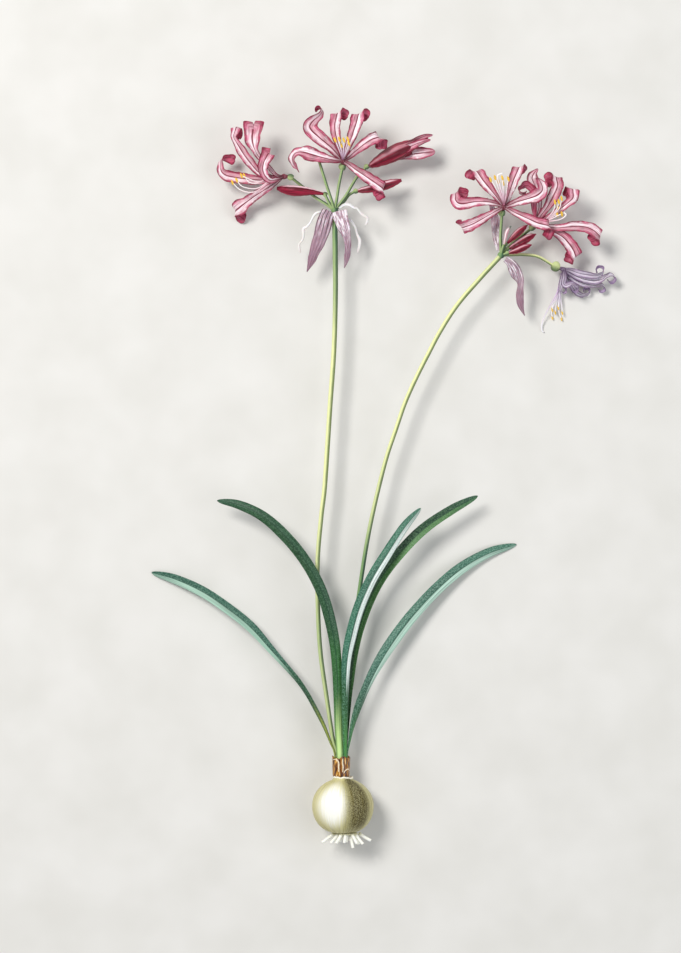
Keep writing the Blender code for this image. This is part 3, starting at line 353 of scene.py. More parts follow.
def stalk(points, radii, steps, around, ribs=(0, 0.0), tint=(0.5, 0.5, 0.0), finish=0):
    """A round stalk: circles of the listed radii along a smooth path, with shallow ribs.

    A circle's turn starts on the left of the way it goes, seen from above, and passes over the top.
    """
    path = smooth_path(points)
    length = np.concatenate([[0.0], np.cumsum(np.linalg.norm(np.diff(path, axis=0), axis=1))])
    s = np.linspace(0.0, 1.0, steps)
    middle = np.stack([np.interp(s, length / length[-1], path[:, k]) for k in range(3)], axis=-1)
    heading = unit(np.gradient(middle, axis=0))
    left, top = beside(heading)
    turn = np.linspace(0.0, 2 * np.pi, around, endpoint=False)
    radius = eased(radii, s)[:, None] * (1 + ribs[1] * np.cos(ribs[0] * turn))
    rings = middle[:, None] + (radius * np.cos(turn))[..., None] * left[:, None]
    rings = rings + (radius * np.sin(turn))[..., None] * top[:, None]
    flat = np.zeros_like(radius)
    marks = np.stack([np.cos(turn) + flat, s[:, None] + flat, np.sin(turn) + flat], axis=-1)
    return shell(rings, marks, tint, finish)


# Fleshy root: smooth and white, greener and duller towards the plate that it grows from.
root_skin = finish_of("fleshy_root", Roughness=0.5, Subsurface_Weight=0.2, Subsurface_Scale=0.001,
                      Subsurface_Radius=(1.0, 0.9, 0.7))
mark = add(root_skin, "Attribute", attribute_name="marks").outputs["Vector"]
along = add(root_skin, "SeparateXYZ", (mark,)).outputs["Y"]
position = add(root_skin, "TexCoord").outputs["Object"]
cork = add(root_skin, "TexNoise", (position, 1300.0, 3.0))
along_root = add(root_skin, "Math", (along, cork), operation="MULTIPLY")
root_tone = add(root_skin, "ValToRGB", (along_root,), [(0.02, "#cdc9a2"), (0.12, "#fbfaf0")])
relief = add(root_skin, "Bump", (0.4, 0.0002, SLOPE_WIDTH, cork))
dress(root_skin, root_tone, relief)

ROOT_TIPS = ((-10.5, -19.0, 14.0), (-6.2, -19.0, 17.5), (-1.2, -18.8, 12.0), (1.5, -18.4, 19.0),
             (3.0, -18.2, 11.5), (5.0, -21.6, 16.5), (8.0, -20.0, 12.5), (10.0, -19.5, 17.5),
             (13.9, -18.0, 15.0), (-4.0, -17.6, 9.5), (7.0, -19.0, 20.6), (-3.5, -18.8, 20.6),
             (-2.0, -18.4, 16.2), (3.2, -17.9, 16.0), (-7.6, -16.6, 12.4), (0.6, -18.6, 20.4))
plate = turned([(0.02, PLATE_TOP - 1.2), (3.4, PLATE_TOP - 1.0), (4.8, PLATE_TOP - 0.7),
                (5.4, PLATE_TOP - 0.3), (5.0, PLATE_TOP), (0.02, PLATE_TOP)],
               (1.8, 0.0, BULB_CENTRE[2]), 48,
               lambda turn, along: 0.3 * np.sin(15 * turn) + 0.15 * np.sin(26 * turn + 2))
shells = [shell(plate[0], plate[1] * np.array([1.0, 0.0, 1.0]))]
for x, y, z in ROOT_TIPS:
    rise = z - BULB_CENTRE[2]
    foot = (ROOTS_X + (x - ROOTS_X) * 0.5, PLATE_TOP - 0.3, BULB_CENTRE[2] + rise * 0.72)
    knee = (ROOTS_X + (x - ROOTS_X) * 0.75, (y + PLATE_TOP) / 2 - 0.3, BULB_CENTRE[2] + rise * 0.9)
    shells.append(stalk([foot, knee, (x, y, z)], (0.85, 0.8, 0.74, 0.76, 0.78, 0.75), 22, 14))
make("roots", shells, [root_skin])


# Neck tunic
# A sleeve of old leaf bases, dried to brown glossy membranes, holds the leaves together over the bulb.
# Its rim is torn and a pale edge has rolled back at its top; two pale strips down its front are painted
# highlight streaks, and a flap lies over its foot on the right.
NECK_X = -0.95
NECK_FOOT = 14.2
NECK_FLOOR = 16.0
NECK_TOP = 23.7
NECK_INNER = 3.75
NECK_OUTER = 4.4

# Dry tunic membrane: thin brown skin that shines like parchment, tan where it is one layer thick and
# almost black where several lie on each other. The streaks follow its fibres, 1 mm apart.
membrane = finish_of("dry_brown_membrane", Roughness=0.28, Coat_Weight=0.12, Coat_Roughness=0.2)
mark = add(membrane, "Attribute", attribute_name="marks").outputs["Vector"]
across, along, up = add(membrane, "SeparateXYZ", (mark,)).outputs
around_neck = add(membrane, "Math", (across, up), operation="ARCTAN2")
fibre_place = add(membrane, "CombineXYZ", (around_neck, along))
stretch = add(membrane, "VectorMath", (fibre_place, (4.2, 2.2, 1.0)), operation="MULTIPLY")
fibres = add(membrane, "TexNoise", (stretch, 1.0, 4.0))
brown = add(membrane, "ValToRGB", (fibres,),
            [(0.36, "#241002"), (0.70, "#fff3cf"), (0.46, "#5a2c08"), (0.53, "#9a6118"),
             (0.61, "#d8a040")])
relief = add(membrane, "Bump", (0.7, 0.0006, SLOPE_WIDTH, fibres))
dress(membrane, brown, relief)


def neck_rings():
    """A sleeve: up its outer wall, over the torn rim and down its inner wall, with a ragged foot."""
    outer = [(0.02, NECK_FOOT), (NECK_OUTER - 0.35, NECK_FOOT)]
    outer += [(NECK_OUTER - 0.3 + 0.4 * t**0.5, NECK_FOOT + t * (NECK_TOP - NECK_FOOT))
              for t in np.linspace(0.03, 1.0, 22)]
    inner = [(NECK_INNER + 0.3, NECK_TOP + 0.05), (NECK_INNER, NECK_TOP - 0.3),
             (NECK_INNER, NECK_FLOOR), (0.02, NECK_FLOOR)]

    def swell(turn, along):
        folds = 0.10 * np.sin(5 * turn + 0.25 * along) + 0.07 * np.sin(9 * turn - 0.4 * along + 1)
        return folds * np.clip((along - NECK_FOOT) / 2, 0.0, 1.0)

    rings, marks = turned(outer + inner, (NECK_X, 0.0, BULB_CENTRE[2]), 96, swell)
    turn = np.arctan2(rings[..., 0] - NECK_X, rings[..., 2] - BULB_CENTRE[2])
    torn = 0.5 * np.sin(3 * turn + 0.6) + 0.3 * np.sin(7 * turn) + 0.15 * np.sin(15 * turn + 2)
    rings[..., 1] += torn * np.clip((rings[..., 1] - 20.5) / 3.2, 0.0, 1.0)
    return rings, marks


# Rolled edge of the membrane, and pale strips that are painted highlight streaks: one layer, dry and pale
# as parchment, with tan flecks 1 mm long.
parchment = finish_of("pale_parchment_and_highlight_strips", Roughness=0.35)
mark = add(parchment, "Attribute", attribute_name="marks").outputs["Vector"]
stretch = add(parchment, "VectorMath", (mark, (2.0, 7.0, 2.0)), operation="MULTIPLY")
fibres = add(parchment, "TexNoise", (stretch, 1.0, 3.0))
cream = add(parchment, "ValToRGB", (fibres,), [(0.34, "#c79a4e"), (0.56, "#fff6df")])
dress(parchment, cream)

# Each pale strip lies on the sleeve: its points are turns about the neck and places along it. The first is
# the rolled edge at the top, running on down as a painted highlight streak; the second is a painted
# highlight streak;
# the third is the flap.
PALE_EDGES_AND_HIGHLIGHT_STRIPS = (
    ([(-1.15, 22.2), (-0.85, 22.9), (-0.5, 22.8), (-0.3, 21.6), (-0.27, 19.4), (-0.26, 16.8)],
     (0.2, 0.3, 0.42, 0.3)),
    ([(0.2, 23.4), (0.17, 21.2), (0.22, 19), (0.18, 16.6)], (0.25, 0.34, 0.22)),
    ([(0.3, 16.0), (0.45, 17.2), (0.85, 18.0), (1.25, 17.2)], (0.2, 0.3, 0.18)),
)
ON_SLEEVE = NECK_OUTER + 0.1
shells = [shell(*neck_rings())]
for route, radii in PALE_EDGES_AND_HIGHLIGHT_STRIPS:
    points = [(NECK_X + ON_SLEEVE * math.sin(turn), along, BULB_CENTRE[2] + ON_SLEEVE * math.cos(turn))
              for turn, along in route]
    shells.append(stalk(points, radii, 30, 10, finish=1))
make("neck_tunic", shells, [membrane, parchment])


# Leaves
# Five strap leaves rise from the bulb inside the tunic and arch outwards. Each is smooth and waxy, folded
# a little along its middle, blue-green with one half beside the midline painted lit and the other painted
# shaded, and yellow-green down in the neck.
LEAF_BASE = NECK_FLOOR + 0.35
LEAF_THICKNESS = 0.7


def blade(points, width, thickness, rolls=(0, 0, 0), curl=(0, 0, 0), outline=(0.34, 0.6, 0.9, 1.04, 0.95),
          trough=0.1, wave=(0.0, 0.0), tip=0.93, fold=0.0, frill=0.0, loosen=-0.4, ends=(0.0, 0.0, 0.0),
          steps=64, columns=18, tint=(0.5, 0.5, 0.0)):
    """A strap or petal: a lens-shaped cross-section carried along its middle line.

    Its face looks up where the roll is 0. Past the last point it rolls away from the face, as round a rod
    laid square across it or skewed from that: the curl is the rod's radius, the turns and the skew in
    degrees, and the radius grows by the share to loosen. The width follows the outline and rounds off past
    the tip. The edges stand off the middle by the trough times the width, by the fold in a V, and swing in
    waves. The ends say how much further the left edge, the middle and the right edge reach.
    """
    centre = smooth_path(points)
    heading = unit(np.gradient(centre, axis=0))
    side, face = beside(heading)
    length = np.linalg.norm(np.diff(centre, axis=0), axis=1)
    s = np.concatenate([[0.0], np.cumsum(length)]) / length.sum()
    roll = np.radians(eased(rolls, s))[:, None]
    side, face = side * np.cos(roll) + face * np.sin(roll), face * np.cos(roll) - side * np.sin(roll)
    forward = heading[-1]
    radius, turns, skew = curl
    if turns:
        rod = side[-1] * math.cos(math.radians(skew)) + heading[-1] * math.sin(math.radians(skew))
        angle = np.linspace(0.0, 2 * np.pi * turns, 40)[1:, None]
        bent, leant, faced = (vector * np.cos(angle) + np.cross(rod, vector) * np.sin(angle)
                              + rod * (rod @ vector) * (1 - np.cos(angle))
                              for vector in (heading[-1], side[-1], face[-1]))
        pace = radius * (1 + loosen * angle / angle[-1]) * angle[0] / math.cos(math.radians(skew))
        centre = np.vstack([centre, centre[-1] + np.cumsum(bent * pace, axis=0)])
        face = np.vstack([face, faced])
        side = np.vstack([side, leant])
        heading = np.vstack([heading, bent])
    paces = np.linalg.norm(np.diff(centre, axis=0), axis=1)
    bends = np.linalg.norm(np.diff(heading, axis=0), axis=1)
    along = np.concatenate([[0.0], np.cumsum(paces)])
    effort = np.concatenate([[0.0], np.cumsum(paces + 3.0 * bends)])
    at = np.linspace(0.0, 1.0, steps) * effort[-1]
    s = (np.interp(at, effort, along) / along[-1])[:, None]
    middle, left, up = (np.stack([np.interp(at, effort, line[:, k]) for k in range(3)], axis=-1)[:, None]
                        for line in (centre, side, face))
    u = np.sin(np.linspace(-np.pi / 2, np.pi / 2, columns + 1))[None, :]
    past = np.clip((s - tip) / (1 - tip), 0.0, 1.0)
    round_off = np.sqrt(1 - 0.985 * past**2)
    wide = width * eased(outline, s) * round_off
    height, count = wave
    calm = np.clip(1.7 * s, 0.0, 1.0)**1.3
    swing = height * np.sin(2 * np.pi * count * s + u) * np.abs(u) * calm
    ripple = frill * np.sin(2 * np.pi * 2.7 * count * s + 3 * u + 9 * tint[2]) * u**2 * calm
    lift = wide * (trough * u**2 + fold * np.abs(u)) + swing + ripple
    reach = u * wide / 2 * (1 + 0.9 * ripple / width)
    longer = eased(ends, (1 - u) / 2) * np.clip((s - 0.72) / 0.28, 0.0, 1.0)**1.5
    sheet = middle + left * reach[..., None] + up * lift[..., None] + forward * longer[..., None]
    out = unit(np.cross(np.gradient(sheet, axis=0), np.gradient(sheet, axis=1)))
    half = (thickness / 2 * np.sqrt(1 - 0.999 * u**2) * round_off)[..., None]
    marks = np.stack([u + 0 * s, s + 0 * u, 1 + 0 * u * s], axis=-1)
    back = marks * np.array([1.0, 1.0, -1.0])
    marks[:, [0, -1], 2] = 0.0
    rings = np.concatenate([(sheet + out * half)[:, ::-1], (sheet - out * half)[:, 1:-1]], axis=1)
    return shell(rings, np.concatenate([marks[:, ::-1], back[:, 1:-1]], axis=1), tint)


def leaf_surface(name, left, right, edge, low, start, wax, blanched, middle, pale_reach, flecks):
    """Waxy leaf: one half beside the midline is painted lit and the other painted shaded, over a greener
    lower part.

    Veins run the whole length, 0.3 mm apart, and flecks of wax 0.7 mm apart dust it. The base is blanched.
    """
    surface = finish_of(name, Roughness=0.45, Specular_IOR_Level=0.25)
    mark = add(surface, "Attribute", attribute_name="marks").outputs["Vector"]
    place, along = add(surface, "SeparateXYZ", (mark,)).outputs[:2]
    across = add(surface, "Math", (place, middle), operation="SUBTRACT")
    stretch = add(surface, "VectorMath", (mark, (9.0, 5.0, 3.0)), operation="MULTIPLY")
    veins = add(surface, "TexNoise", (stretch, 1.0, 3.0))
    position = add(surface, "TexCoord").outputs["Object"]
    cells = add(surface, "TexNoise", (position, 1500.0, 3.0))
    # The halves: one painted lit, the other painted shaded, with the right half's rim in its own colour.
    half = add(surface, "MapRange", (across, -0.05, 0.05), **SOFT)
    rim = add(surface, "MapRange", (across, -0.88, -0.78), **SOFT)
    right_half = add(surface, "Mix", (rim, edge, right), data_type="RGBA")
    lit_and_shaded_halves = add(surface, "Mix", (half, right_half, left), data_type="RGBA")
    uneven = add(surface, "Math", (veins, 0.16, along), operation="MULTIPLY_ADD")
    upper = add(surface, "MapRange", (uneven, start, start + 0.12), **SOFT)
    greens = add(surface, "Mix", (upper, low, lit_and_shaded_halves), data_type="RGBA")
    end = add(surface, "MapRange", (along, 0.85, 1.0, 0.0, 0.6), **SOFT)
    tipped = add(surface, "Mix", (end, greens, wax), data_type="RGBA")
    streak = add(surface, "MapRange", (veins, 0.35, 0.65, -0.26, 0.26))
    tone = add(surface, "Math", (streak, 0.8), operation="ADD")
    veined = add(surface, "VectorMath", (tipped, tone), operation="SCALE")
    fleck = add(surface, "MapRange", (cells, 0.42, 0.64, 0.0, 0.34))
    flecked = add(surface, "Mix", (fleck, veined, flecks), data_type="RGBA")
    rib_distance = add(surface, "Math", (across,), operation="ABSOLUTE")
    rib = add(surface, "MapRange", (rib_distance, 0.03, 0.12, 0.7, 0.0), **SOFT)
    ribbed = add(surface, "Mix", (rib, flecked, "#0d3b26"), data_type="RGBA")
    blanch = add(surface, "Math", (veins, -0.25, along), operation="MULTIPLY_ADD")
    pale = add(surface, "MapRange", (blanch, -0.06, pale_reach, 1.0, 0.0), **SOFT)
    lit_side = add(surface, "MapRange", (rib_distance, 0.2, 0.75, 1.0, 0.3), **SOFT)
    sided = add(surface, "Math", (pale, lit_side), operation="MULTIPLY")
    whole = add(surface, "Mix", (sided, ribbed, blanched), data_type="RGBA")
    height = add(surface, "Math", (rib, -1.5, veins), operation="MULTIPLY_ADD")
    relief = add(surface, "Bump", (0.5, 0.00015, SLOPE_WIDTH, height))
    dress(surface, whole, relief)
    return surface


LEAVES = (
    ("leaf_low_left", 5.4, 0.12, (90, 60, 30, 0, 0), (0.48, 0.74, 0.66, 1, 1, 0.8),
     ("#a9cdba", "#336050", "#336050", "#1d4a2d", 0.42, "#2f5f4d", "#dfe85e", 0.05, 0.16, "#8fb8a3"),
     [(-4.0, LEAF_BASE, 15), (-4.0, 22, 15), (-4.2, 25, 14.9), (-5, 28, 14.7), (-6.3, 30.7, 14.5),
      (-10.5, 40.5, 14), (-17.3, 53.5, 13.2), (-22.2, 61, 12.6), (-26.8, 66.6, 12.1),
      (-36.5, 77.5, 11), (-46.8, 88.9, 9.6), (-58.4, 98.3, 8), (-70.4, 106.2, 5.8), (-84.1, 112.4, 3.2),
      (-96.5, 115.8, 0.5)]),
    ("leaf_high_left", 5.6, -0.12, (-13, 0, 0, 0), (0.56, 0.86, 1, 1, 0.8),
     ("#24492d", "#2c4f39", "#2c4f39", "#2f6a2f", 0.42, "#365f4a", "#c6e596", 0.0, 0.13, "#6f9877"),
     [(-1.64, LEAF_BASE, 17.95), (-1.8, 25, 17.8), (-2.3, 40, 17.4), (-2.5, 57, 17.6), (-3.8, 78, 18.8),
      (-6.8, 94, 20.2), (-11.2, 108, 21.4), (-18.2, 121.2, 22), (-27.8, 133.4, 21.6), (-39.5, 144, 20),
      (-51.8, 150, 17.5), (-63, 152.2, 14.5)]),
    ("leaf_centre", 5.6, -0.12, (43, 10, 0, 0), (0.34, 0.6, 1, 1, 0.75),
     ("#2f6a53", "#f6fffb", "#1d4f36", "#265a2c", 0.34, "#3f6f5c", "#4f9444", -0.12, 0.12, "#8dbba5"),
     [(1.13, LEAF_BASE, 17.23), (1.13, 24.5, 17.25), (1.2, 31, 18), (1.2, 38, 18.8), (1.1, 50.5, 19.4),
      (1.7, 71.7, 20.6), (4.2, 85.5, 21.4), (8, 99, 22.2), (14, 112.8, 22.8), (21.5, 125.2, 23),
      (30.5, 139, 22), (38.8, 148.5, 20.5)]),
    ("leaf_high_right", 5.6, -0.12, (144, 175, 180, 180), (0.41, 0.6, 1, 1, 0.8),
     ("#4d7f44", "#22432f", "#22432f", "#24552b", 0.27, "#30584a", "#2f6a35", 0.1, 0.12, "#7fa57c"),
     [(0.84, LEAF_BASE, 12.53), (1.0, 25, 12.5), (1.8, 38, 12.3), (2.8, 52.5, 12.2), (4, 63, 12.1),
      (5.5, 75.5, 12), (8, 88, 12.2), (12.7, 101.5, 13), (19.2, 114, 14), (28.8, 126.5, 15),
      (40.5, 138.2, 15.3), (54.5, 147.7, 14.6), (67.5, 154.5, 13)]),
    ("leaf_low_right", 6.3, -0.12, (90, 40, 0, 0, 0), (0.31, 0.85, 1, 0.95, 0.7),
     ("#3d6d5b", "#c3e4d3", "#c3e4d3", "#24563a", 0.30, "#4d7d6a", "#4f8f4f", -0.1, 0.12, "#a3cab7"),
     [(2.1, LEAF_BASE, 15), (2.15, 25, 15), (3.4, 31.5, 15), (5.2, 39.6, 14.9), (8.7, 50.5, 14.2),
      (14.2, 63.2, 13), (19.6, 73.2, 12.2), (24.2, 80.4, 11.3), (29.6, 87.9, 10.6), (36, 95.8, 9.6),
      (47, 107.5, 7.6), (59.5, 118, 5.2), (73.5, 125.8, 2.8), (87.5, 130, 0.5)]),
)
for name, width, trough, rolls, outline, tones, points in LEAVES:
    surface = leaf_surface("waxy_" + name, *tones)
    skin = blade(points, width, LEAF_THICKNESS, rolls, outline=outline, trough=trough, tip=0.9,
                 fold=trough * 0.25, steps=150, columns=16)
    make(name, [skin], [surface])


# Flower stems
# Each scape is one smooth leafless stalk. At its top the pedicels fan out, each with the green
# three-lobed ovary of its bloom; the oldest on the right has swollen into a fruit.
PEDICEL_RADIUS = 0.75
FRUIT_PEDICEL = 2
LEFT_UMBEL = (-4.15, 297.2, 17.0)
RIGHT_UMBEL = (79.1, 275.0, 16.0)


def pod(centre, axis, radii, lobes, steps=18, around=24, tint=(0.5, 0.5, 0.0), finish=0):
    """A swollen body about an axis: circles of an ellipse's radii with lobes, half length then radius."""
    heading = unit(np.array(axis, dtype=float))
    left, top = beside(heading)
    t = np.linspace(-0.997, 0.997, steps)[:, None]
    turn = np.linspace(0.0, 2 * np.pi, around, endpoint=False)
    radius = radii[1] * np.sqrt(1 - t**2) * (1 + lobes[1] * np.cos(lobes[0] * turn))
    rings = np.array(centre) + (t * radii[0] + 0 * turn)[..., None] * heading
    rings = rings + (radius * np.cos(turn))[..., None] * left + (radius * np.sin(turn))[..., None] * top
    marks = np.stack([np.cos(turn) + 0 * t, t / 2 + 0.5 + 0 * turn, np.sin(turn) + 0 * t], axis=-1)
    return shell(rings, marks, tint, finish)


# Green stem skin: smooth, with a slight wax that dulls it. The left flank is painted lit, yellow-green, and
# the other painted shaded, grey-green, both deeper where the tint is low; faint lengthwise ribs are 0.4 mm
# apart.
stem_skin = finish_of("smooth_green_stem", Roughness=0.45, Specular_IOR_Level=0.3, Subsurface_Weight=0.05,
                      Subsurface_Scale=0.001, Subsurface_Radius=(0.6, 1.0, 0.3))
mark = add(stem_skin, "Attribute", attribute_name="marks").outputs["Vector"]
across = add(stem_skin, "SeparateXYZ", (mark,)).outputs["X"]
tinted = add(stem_skin, "Attribute", attribute_name="tint").outputs["Vector"]
youth = add(stem_skin, "SeparateXYZ", (tinted,)).outputs["X"]
stretch = add(stem_skin, "VectorMath", (mark, (3.0, 40.0, 3.0)), operation="MULTIPLY")
streaks = add(stem_skin, "TexNoise", (stretch, 1.0, 3.0))
wander = add(stem_skin, "Math", (streaks, 0.8, across), operation="MULTIPLY_ADD")
# Painted light: the left flank lit and the right flank shaded.
lit = add(stem_skin, "MapRange", (wander, -0.1, 0.85), **SOFT)
young = add(stem_skin, "Mix", (lit, "#7c8a58", "#edf0b0"), data_type="RGBA")
deep = add(stem_skin, "Mix", (lit, "#2a5240", "#66935a"), data_type="RGBA")
green = add(stem_skin, "Mix", (youth, deep, young), data_type="RGBA")
relief = add(stem_skin, "Bump", (0.3, 0.0001, SLOPE_WIDTH, streaks))
dress(stem_skin, green, relief)


def flower_stem(name, scape, radii, yellow, umbel, routes, ovaries, fruits=()):
    """A scape, the swollen head that its pedicels leave, and an ovary or a fruit at the end of each."""
    main = stalk(scape, radii, 220, 20, (6, 0.025))
    main["tint"][:, 0] = eased(yellow, main["marks"][:, 1])
    shells = [main, pod(umbel, (0.1, 1.0, 0.0), (1.7, 1.7), (6, 0.08), tint=(0.1, 0.2, 0.0))]
    for number, route in enumerate(routes):
        ripe = 0.9 if fruits and number == FRUIT_PEDICEL else 0.3
        shells.append(stalk([umbel, *route], (PEDICEL_RADIUS, PEDICEL_RADIUS, 0.7), 40, 16, (3, 0.04),
                            (ripe, 0.5, 0.0)))
    for place, radius, axis in ovaries:
        shells.append(pod(place, axis, (radius * 1.12, radius * 1.04), (3, 0.24), tint=(0.35, 0.5, 0.0)))
    for place, radius, axis in fruits:
        shells.append(pod(place, axis, (radius, radius * 1.06), (3, 0.22), 28, 36, tint=(0.6, 0.8, 0.0)))
    make(name, shells, [stem_skin])


flower_stem(
    "left_flower_stem",
    [(-2.15, LEAF_BASE, 15), (-2.2, 22, 15), (-2.55, 25, 15), (-3.4, 28, 15), (-5.2, 34, 15),
     (-8, 52.5, 15), (-11.2, 75.5, 15), (-12.5, 97, 15), (-12.7, 122, 15), (-10.9, 144, 15),
     (-9.3, 157.5, 15.1), (-7.9, 177.5, 15.3), (-6.5, 199.3, 15.6), (-4.6, 226, 16), (-3.8, 253, 16.5),
     (-3.9, 277.5, 16.9), (-4.2, 296, 17)], (0.95, 1.1, 1.1, 1.2, 1.2, 1.35),
    (0.5, 0.6, 0.45, 0.8, 1, 1, 1, 0.35, 0.1), LEFT_UMBEL,
    [[(-8.3, 300.6, 13.6), (-14.5, 304.8, 11.4), (-20.5, 309.8, 11.8), (-25.8, 313.7, 16.5)],
     [(-6.6, 300.5, 16.4), (-8.2, 303.6, 16), (-8.9, 305.3, 15.7)],
     [(-5.6, 302, 18.4), (-8.6, 311, 19.2), (-13, 325.4, 19.5)],
     [(-3, 303.5, 17.8), (-2, 310, 18.2), (-0.4, 317.6, 18.8)],
     [(1.3, 304.5, 16), (4.4, 309.9, 15.3), (7.3, 314.5, 14.8), (11.3, 318.6, 14.4)],
     [(0.6, 302, 14.9), (3, 305.2, 14.2), (5.8, 306.9, 14)]],
    [((-26.25, 314.15, 17.2), 1.5, (-1, 0.2, 0.3)), ((-8.9, 305.6, 15.6), 1.15, (-1, 0.3, 0)),
     ((-13.3, 326.2, 19.5), 0.95, (-0.4, 1, 0)), ((-0.05, 319.0, 19.0), 1.75, (0.1, 1, 0.5)),
     ((11.85, 319.2, 14.3), 1.25, (1, 0.5, 0)), ((6.4, 307.0, 14.0), 1.2, (1, 0.2, 0))])
flower_stem(
    "right_flower_stem",
    [(0.25, LEAF_BASE, 15), (0.4, 25, 15), (1.2, 37.5, 15), (1.8, 52.5, 15), (2.5, 66.5, 15),
     (3.9, 80, 15), (5.8, 92.5, 15), (7.8, 104, 15), (9.8, 117.5, 15), (11.8, 130, 15),
     (14.2, 142.5, 15), (17.6, 157.6, 15.1), (21.9, 174.2, 15.2), (26.5, 187.9, 15.3),
     (31, 201, 15.4), (36.4, 213.2, 15.5), (42.6, 225.5, 15.6), (48.7, 237, 15.7),
     (57.1, 250, 15.8), (68.2, 263, 15.9), (78.6, 274.3, 16)], (0.95, 1.0, 1.05, 1.05, 1.1, 1.2),
    (0.1, 0.05, 0, 0.1, 0.75, 1, 1, 1, 0.8), RIGHT_UMBEL,
    [[(78.8, 283.5, 17.5), (79.1, 290.5, 18.9), (79.4, 295, 20)],
     [(83.3, 279.6, 12.9), (88.5, 284, 10.6), (92.4, 287, 11.6), (94.5, 288.4, 13.4)],
     [(84, 275.2, 13.8), (91, 275.4, 12.4), (98, 274.4, 11.4), (105.5, 270.2, 9.5)],
     [(80.2, 278, 16.6), (81.2, 280, 16.9)], [(81, 276.8, 15.4), (82.2, 277.9, 15)],
     [(80.6, 275.3, 16.8), (81.8, 275.7, 17.2)], [(79.7, 277.8, 18), (80.3, 279.8, 19)]],
    [((79.45, 295.9, 20.2), 1.7, (0.1, 1, 0.5)), ((94.9, 288.8, 14.2), 1.6, (1, 0.7, 0.5)),
     ((81.4, 280.3, 16.9), 1.0, (0.6, 1, 0)), ((82.3, 278.0, 14.9), 1.0, (1, 0.7, 0)),
     ((82.1, 275.8, 17.2), 1.0, (1, 0.3, 0))],
    [((106.65, 269.35, 9.0), 2.4, (1, -0.4, 0))])


# Spathe valves and threads
# Two papery valves wrapped each young umbel. They have withered and hang below it, mauve with pale
# parallel ridges; thread-like bracteoles between the pedicels have dried white, with painted shade down one
# side.
def paper_surface(name, low, high, dark_line, pale, lines):
    """Dry bract: a thin matt paper with raised parallel veins, a dark line beside each.

    A phase of lines times the place across gives one wave for each vein; noise lets it wander.
    """
    surface = finish_of(name, Roughness=0.6, Subsurface_Weight=0.1, Subsurface_Scale=0.0008)
    mark = add(surface, "Attribute", attribute_name="marks").outputs["Vector"]
    across, along = add(surface, "SeparateXYZ", (mark,)).outputs[:2]
    tinted = add(surface, "Attribute", attribute_name="tint").outputs["Vector"]
    whiteness, ridge = add(surface, "SeparateXYZ", (tinted,)).outputs[:2]
    stretch = add(surface, "VectorMath", (mark, (5.0, 7.0, 1.0)), operation="MULTIPLY")
    fibre = add(surface, "TexNoise", (stretch, 1.0, 4.0))
    wander = add(surface, "Math", (fibre, 0.2, across), operation="MULTIPLY_ADD")
    phase = add(surface, "Math", (wander, lines * math.pi), operation="MULTIPLY")
    waves = add(surface, "Math", (phase,), operation="SINE")
    ground = add(surface, "Mix", (along, high, low), data_type="RGBA")
    young = add(surface, "MapRange", (along, 0.15, 0.6, 1.0, 0.2), **SOFT)
    light = add(surface, "MapRange", (fibre, 0.42, 0.68), **SOFT)
    bleach = add(surface, "Math", (young, whiteness), operation="MULTIPLY")
    bleached = add(surface, "Math", (light, bleach), operation="MULTIPLY")
    paler = add(surface, "Mix", (bleached, ground, pale), data_type="RGBA")
    dark = add(surface, "MapRange", (waves, 0.35, 1.0), **SOFT)
    ribbing = add(surface, "Math", (young, ridge), operation="MULTIPLY")
    darker = add(surface, "Math", (dark, ribbing), operation="MULTIPLY")
    veined = add(surface, "Mix", (darker, paler, dark_line), data_type="RGBA")
    relief = add(surface, "Bump", (0.6, 0.0002, SLOPE_WIDTH, waves))
    dress(surface, veined, relief)
    return surface


mauve_paper = paper_surface("mauve_papery_bract", "#94687c", "#a98a99", "#3f2632", "#f4eaf1", 4.5)
# On the threads one wave spans the width, so the dark line runs down one side only: painted shade.
white_thread = paper_surface("bleached_bract_thread", "#ece4e2", "#ffffff", "#8f7378", "#ffffff", 1.0)
PAPER_THICKNESS = 0.45
PAPER_TIP = 0.92
VALVES = (
    ("left_spathe_outer", [(-6.9, 297.0, 19.6), (-8.1, 294.6, 20.8), (-9.3, 291, 21.2),
                           (-10.8, 285.5, 20.6), (-12.4, 281, 19.6), (-14, 277.2, 18.4),
                           (-15.8, 272.2, 16.6), (-18.1, 266.6, 14.6)],
     7.4, dict(outline=(0.95, 1.08, 0.92, 0.62, 0.14), trough=-0.16, wave=(0.2, 2.0),
               tint=(0.7, 0.95, 0.1))),
    ("left_spathe_inner", [(-2.0, 296.9, 19.8), (-0.9, 292.5, 20.3), (0.9, 287, 20), (2.3, 282.5, 19.2),
                           (2.6, 277.5, 18.2), (1.8, 272.5, 17), (0.6, 268.5, 15.8)],
     6.6, dict(rolls=(0, 10, -30, 0), outline=(1.2, 1.0, 0.56, 0.54, 0.12), trough=-0.1, wave=(0.2, 2.0),
               tint=(2.0, 0.1, 0.5))),
    ("right_spathe_upper", [(78.2, 277.4, 14.0), (77.6, 283, 13.6), (76.6, 290, 13.2), (75.6, 296, 13),
                            (74, 301, 12.9), (72.3, 304, 12.8)],
     4.8, dict(outline=(0.6, 1, 0.95, 0.6, 0.14), trough=-0.12, tint=(2.4, 0.1, 0.2))),
    ("right_spathe_lower", [(81.2, 273.0, 18.3), (83.4, 271.2, 18.6), (85.3, 268.4, 18.2),
                            (87, 264.6, 17.2), (88.3, 260.6, 15.8), (88.4, 255.4, 14.2),
                            (89.1, 250, 12.6), (91.2, 244.8, 10.8)],
     6.2, dict(rolls=(0, 0, 50, 10, 0), outline=(0.55, 1, 0.78, 0.6, 0.12), trough=-0.14, wave=(0.25, 2.0),
               tint=(1.2, 0.6, 0.7))),
)
for name, points, width, shape in VALVES:
    skin = blade(points, width, PAPER_THICKNESS, tip=PAPER_TIP, **shape)
    make(name, [skin], [mauve_paper])
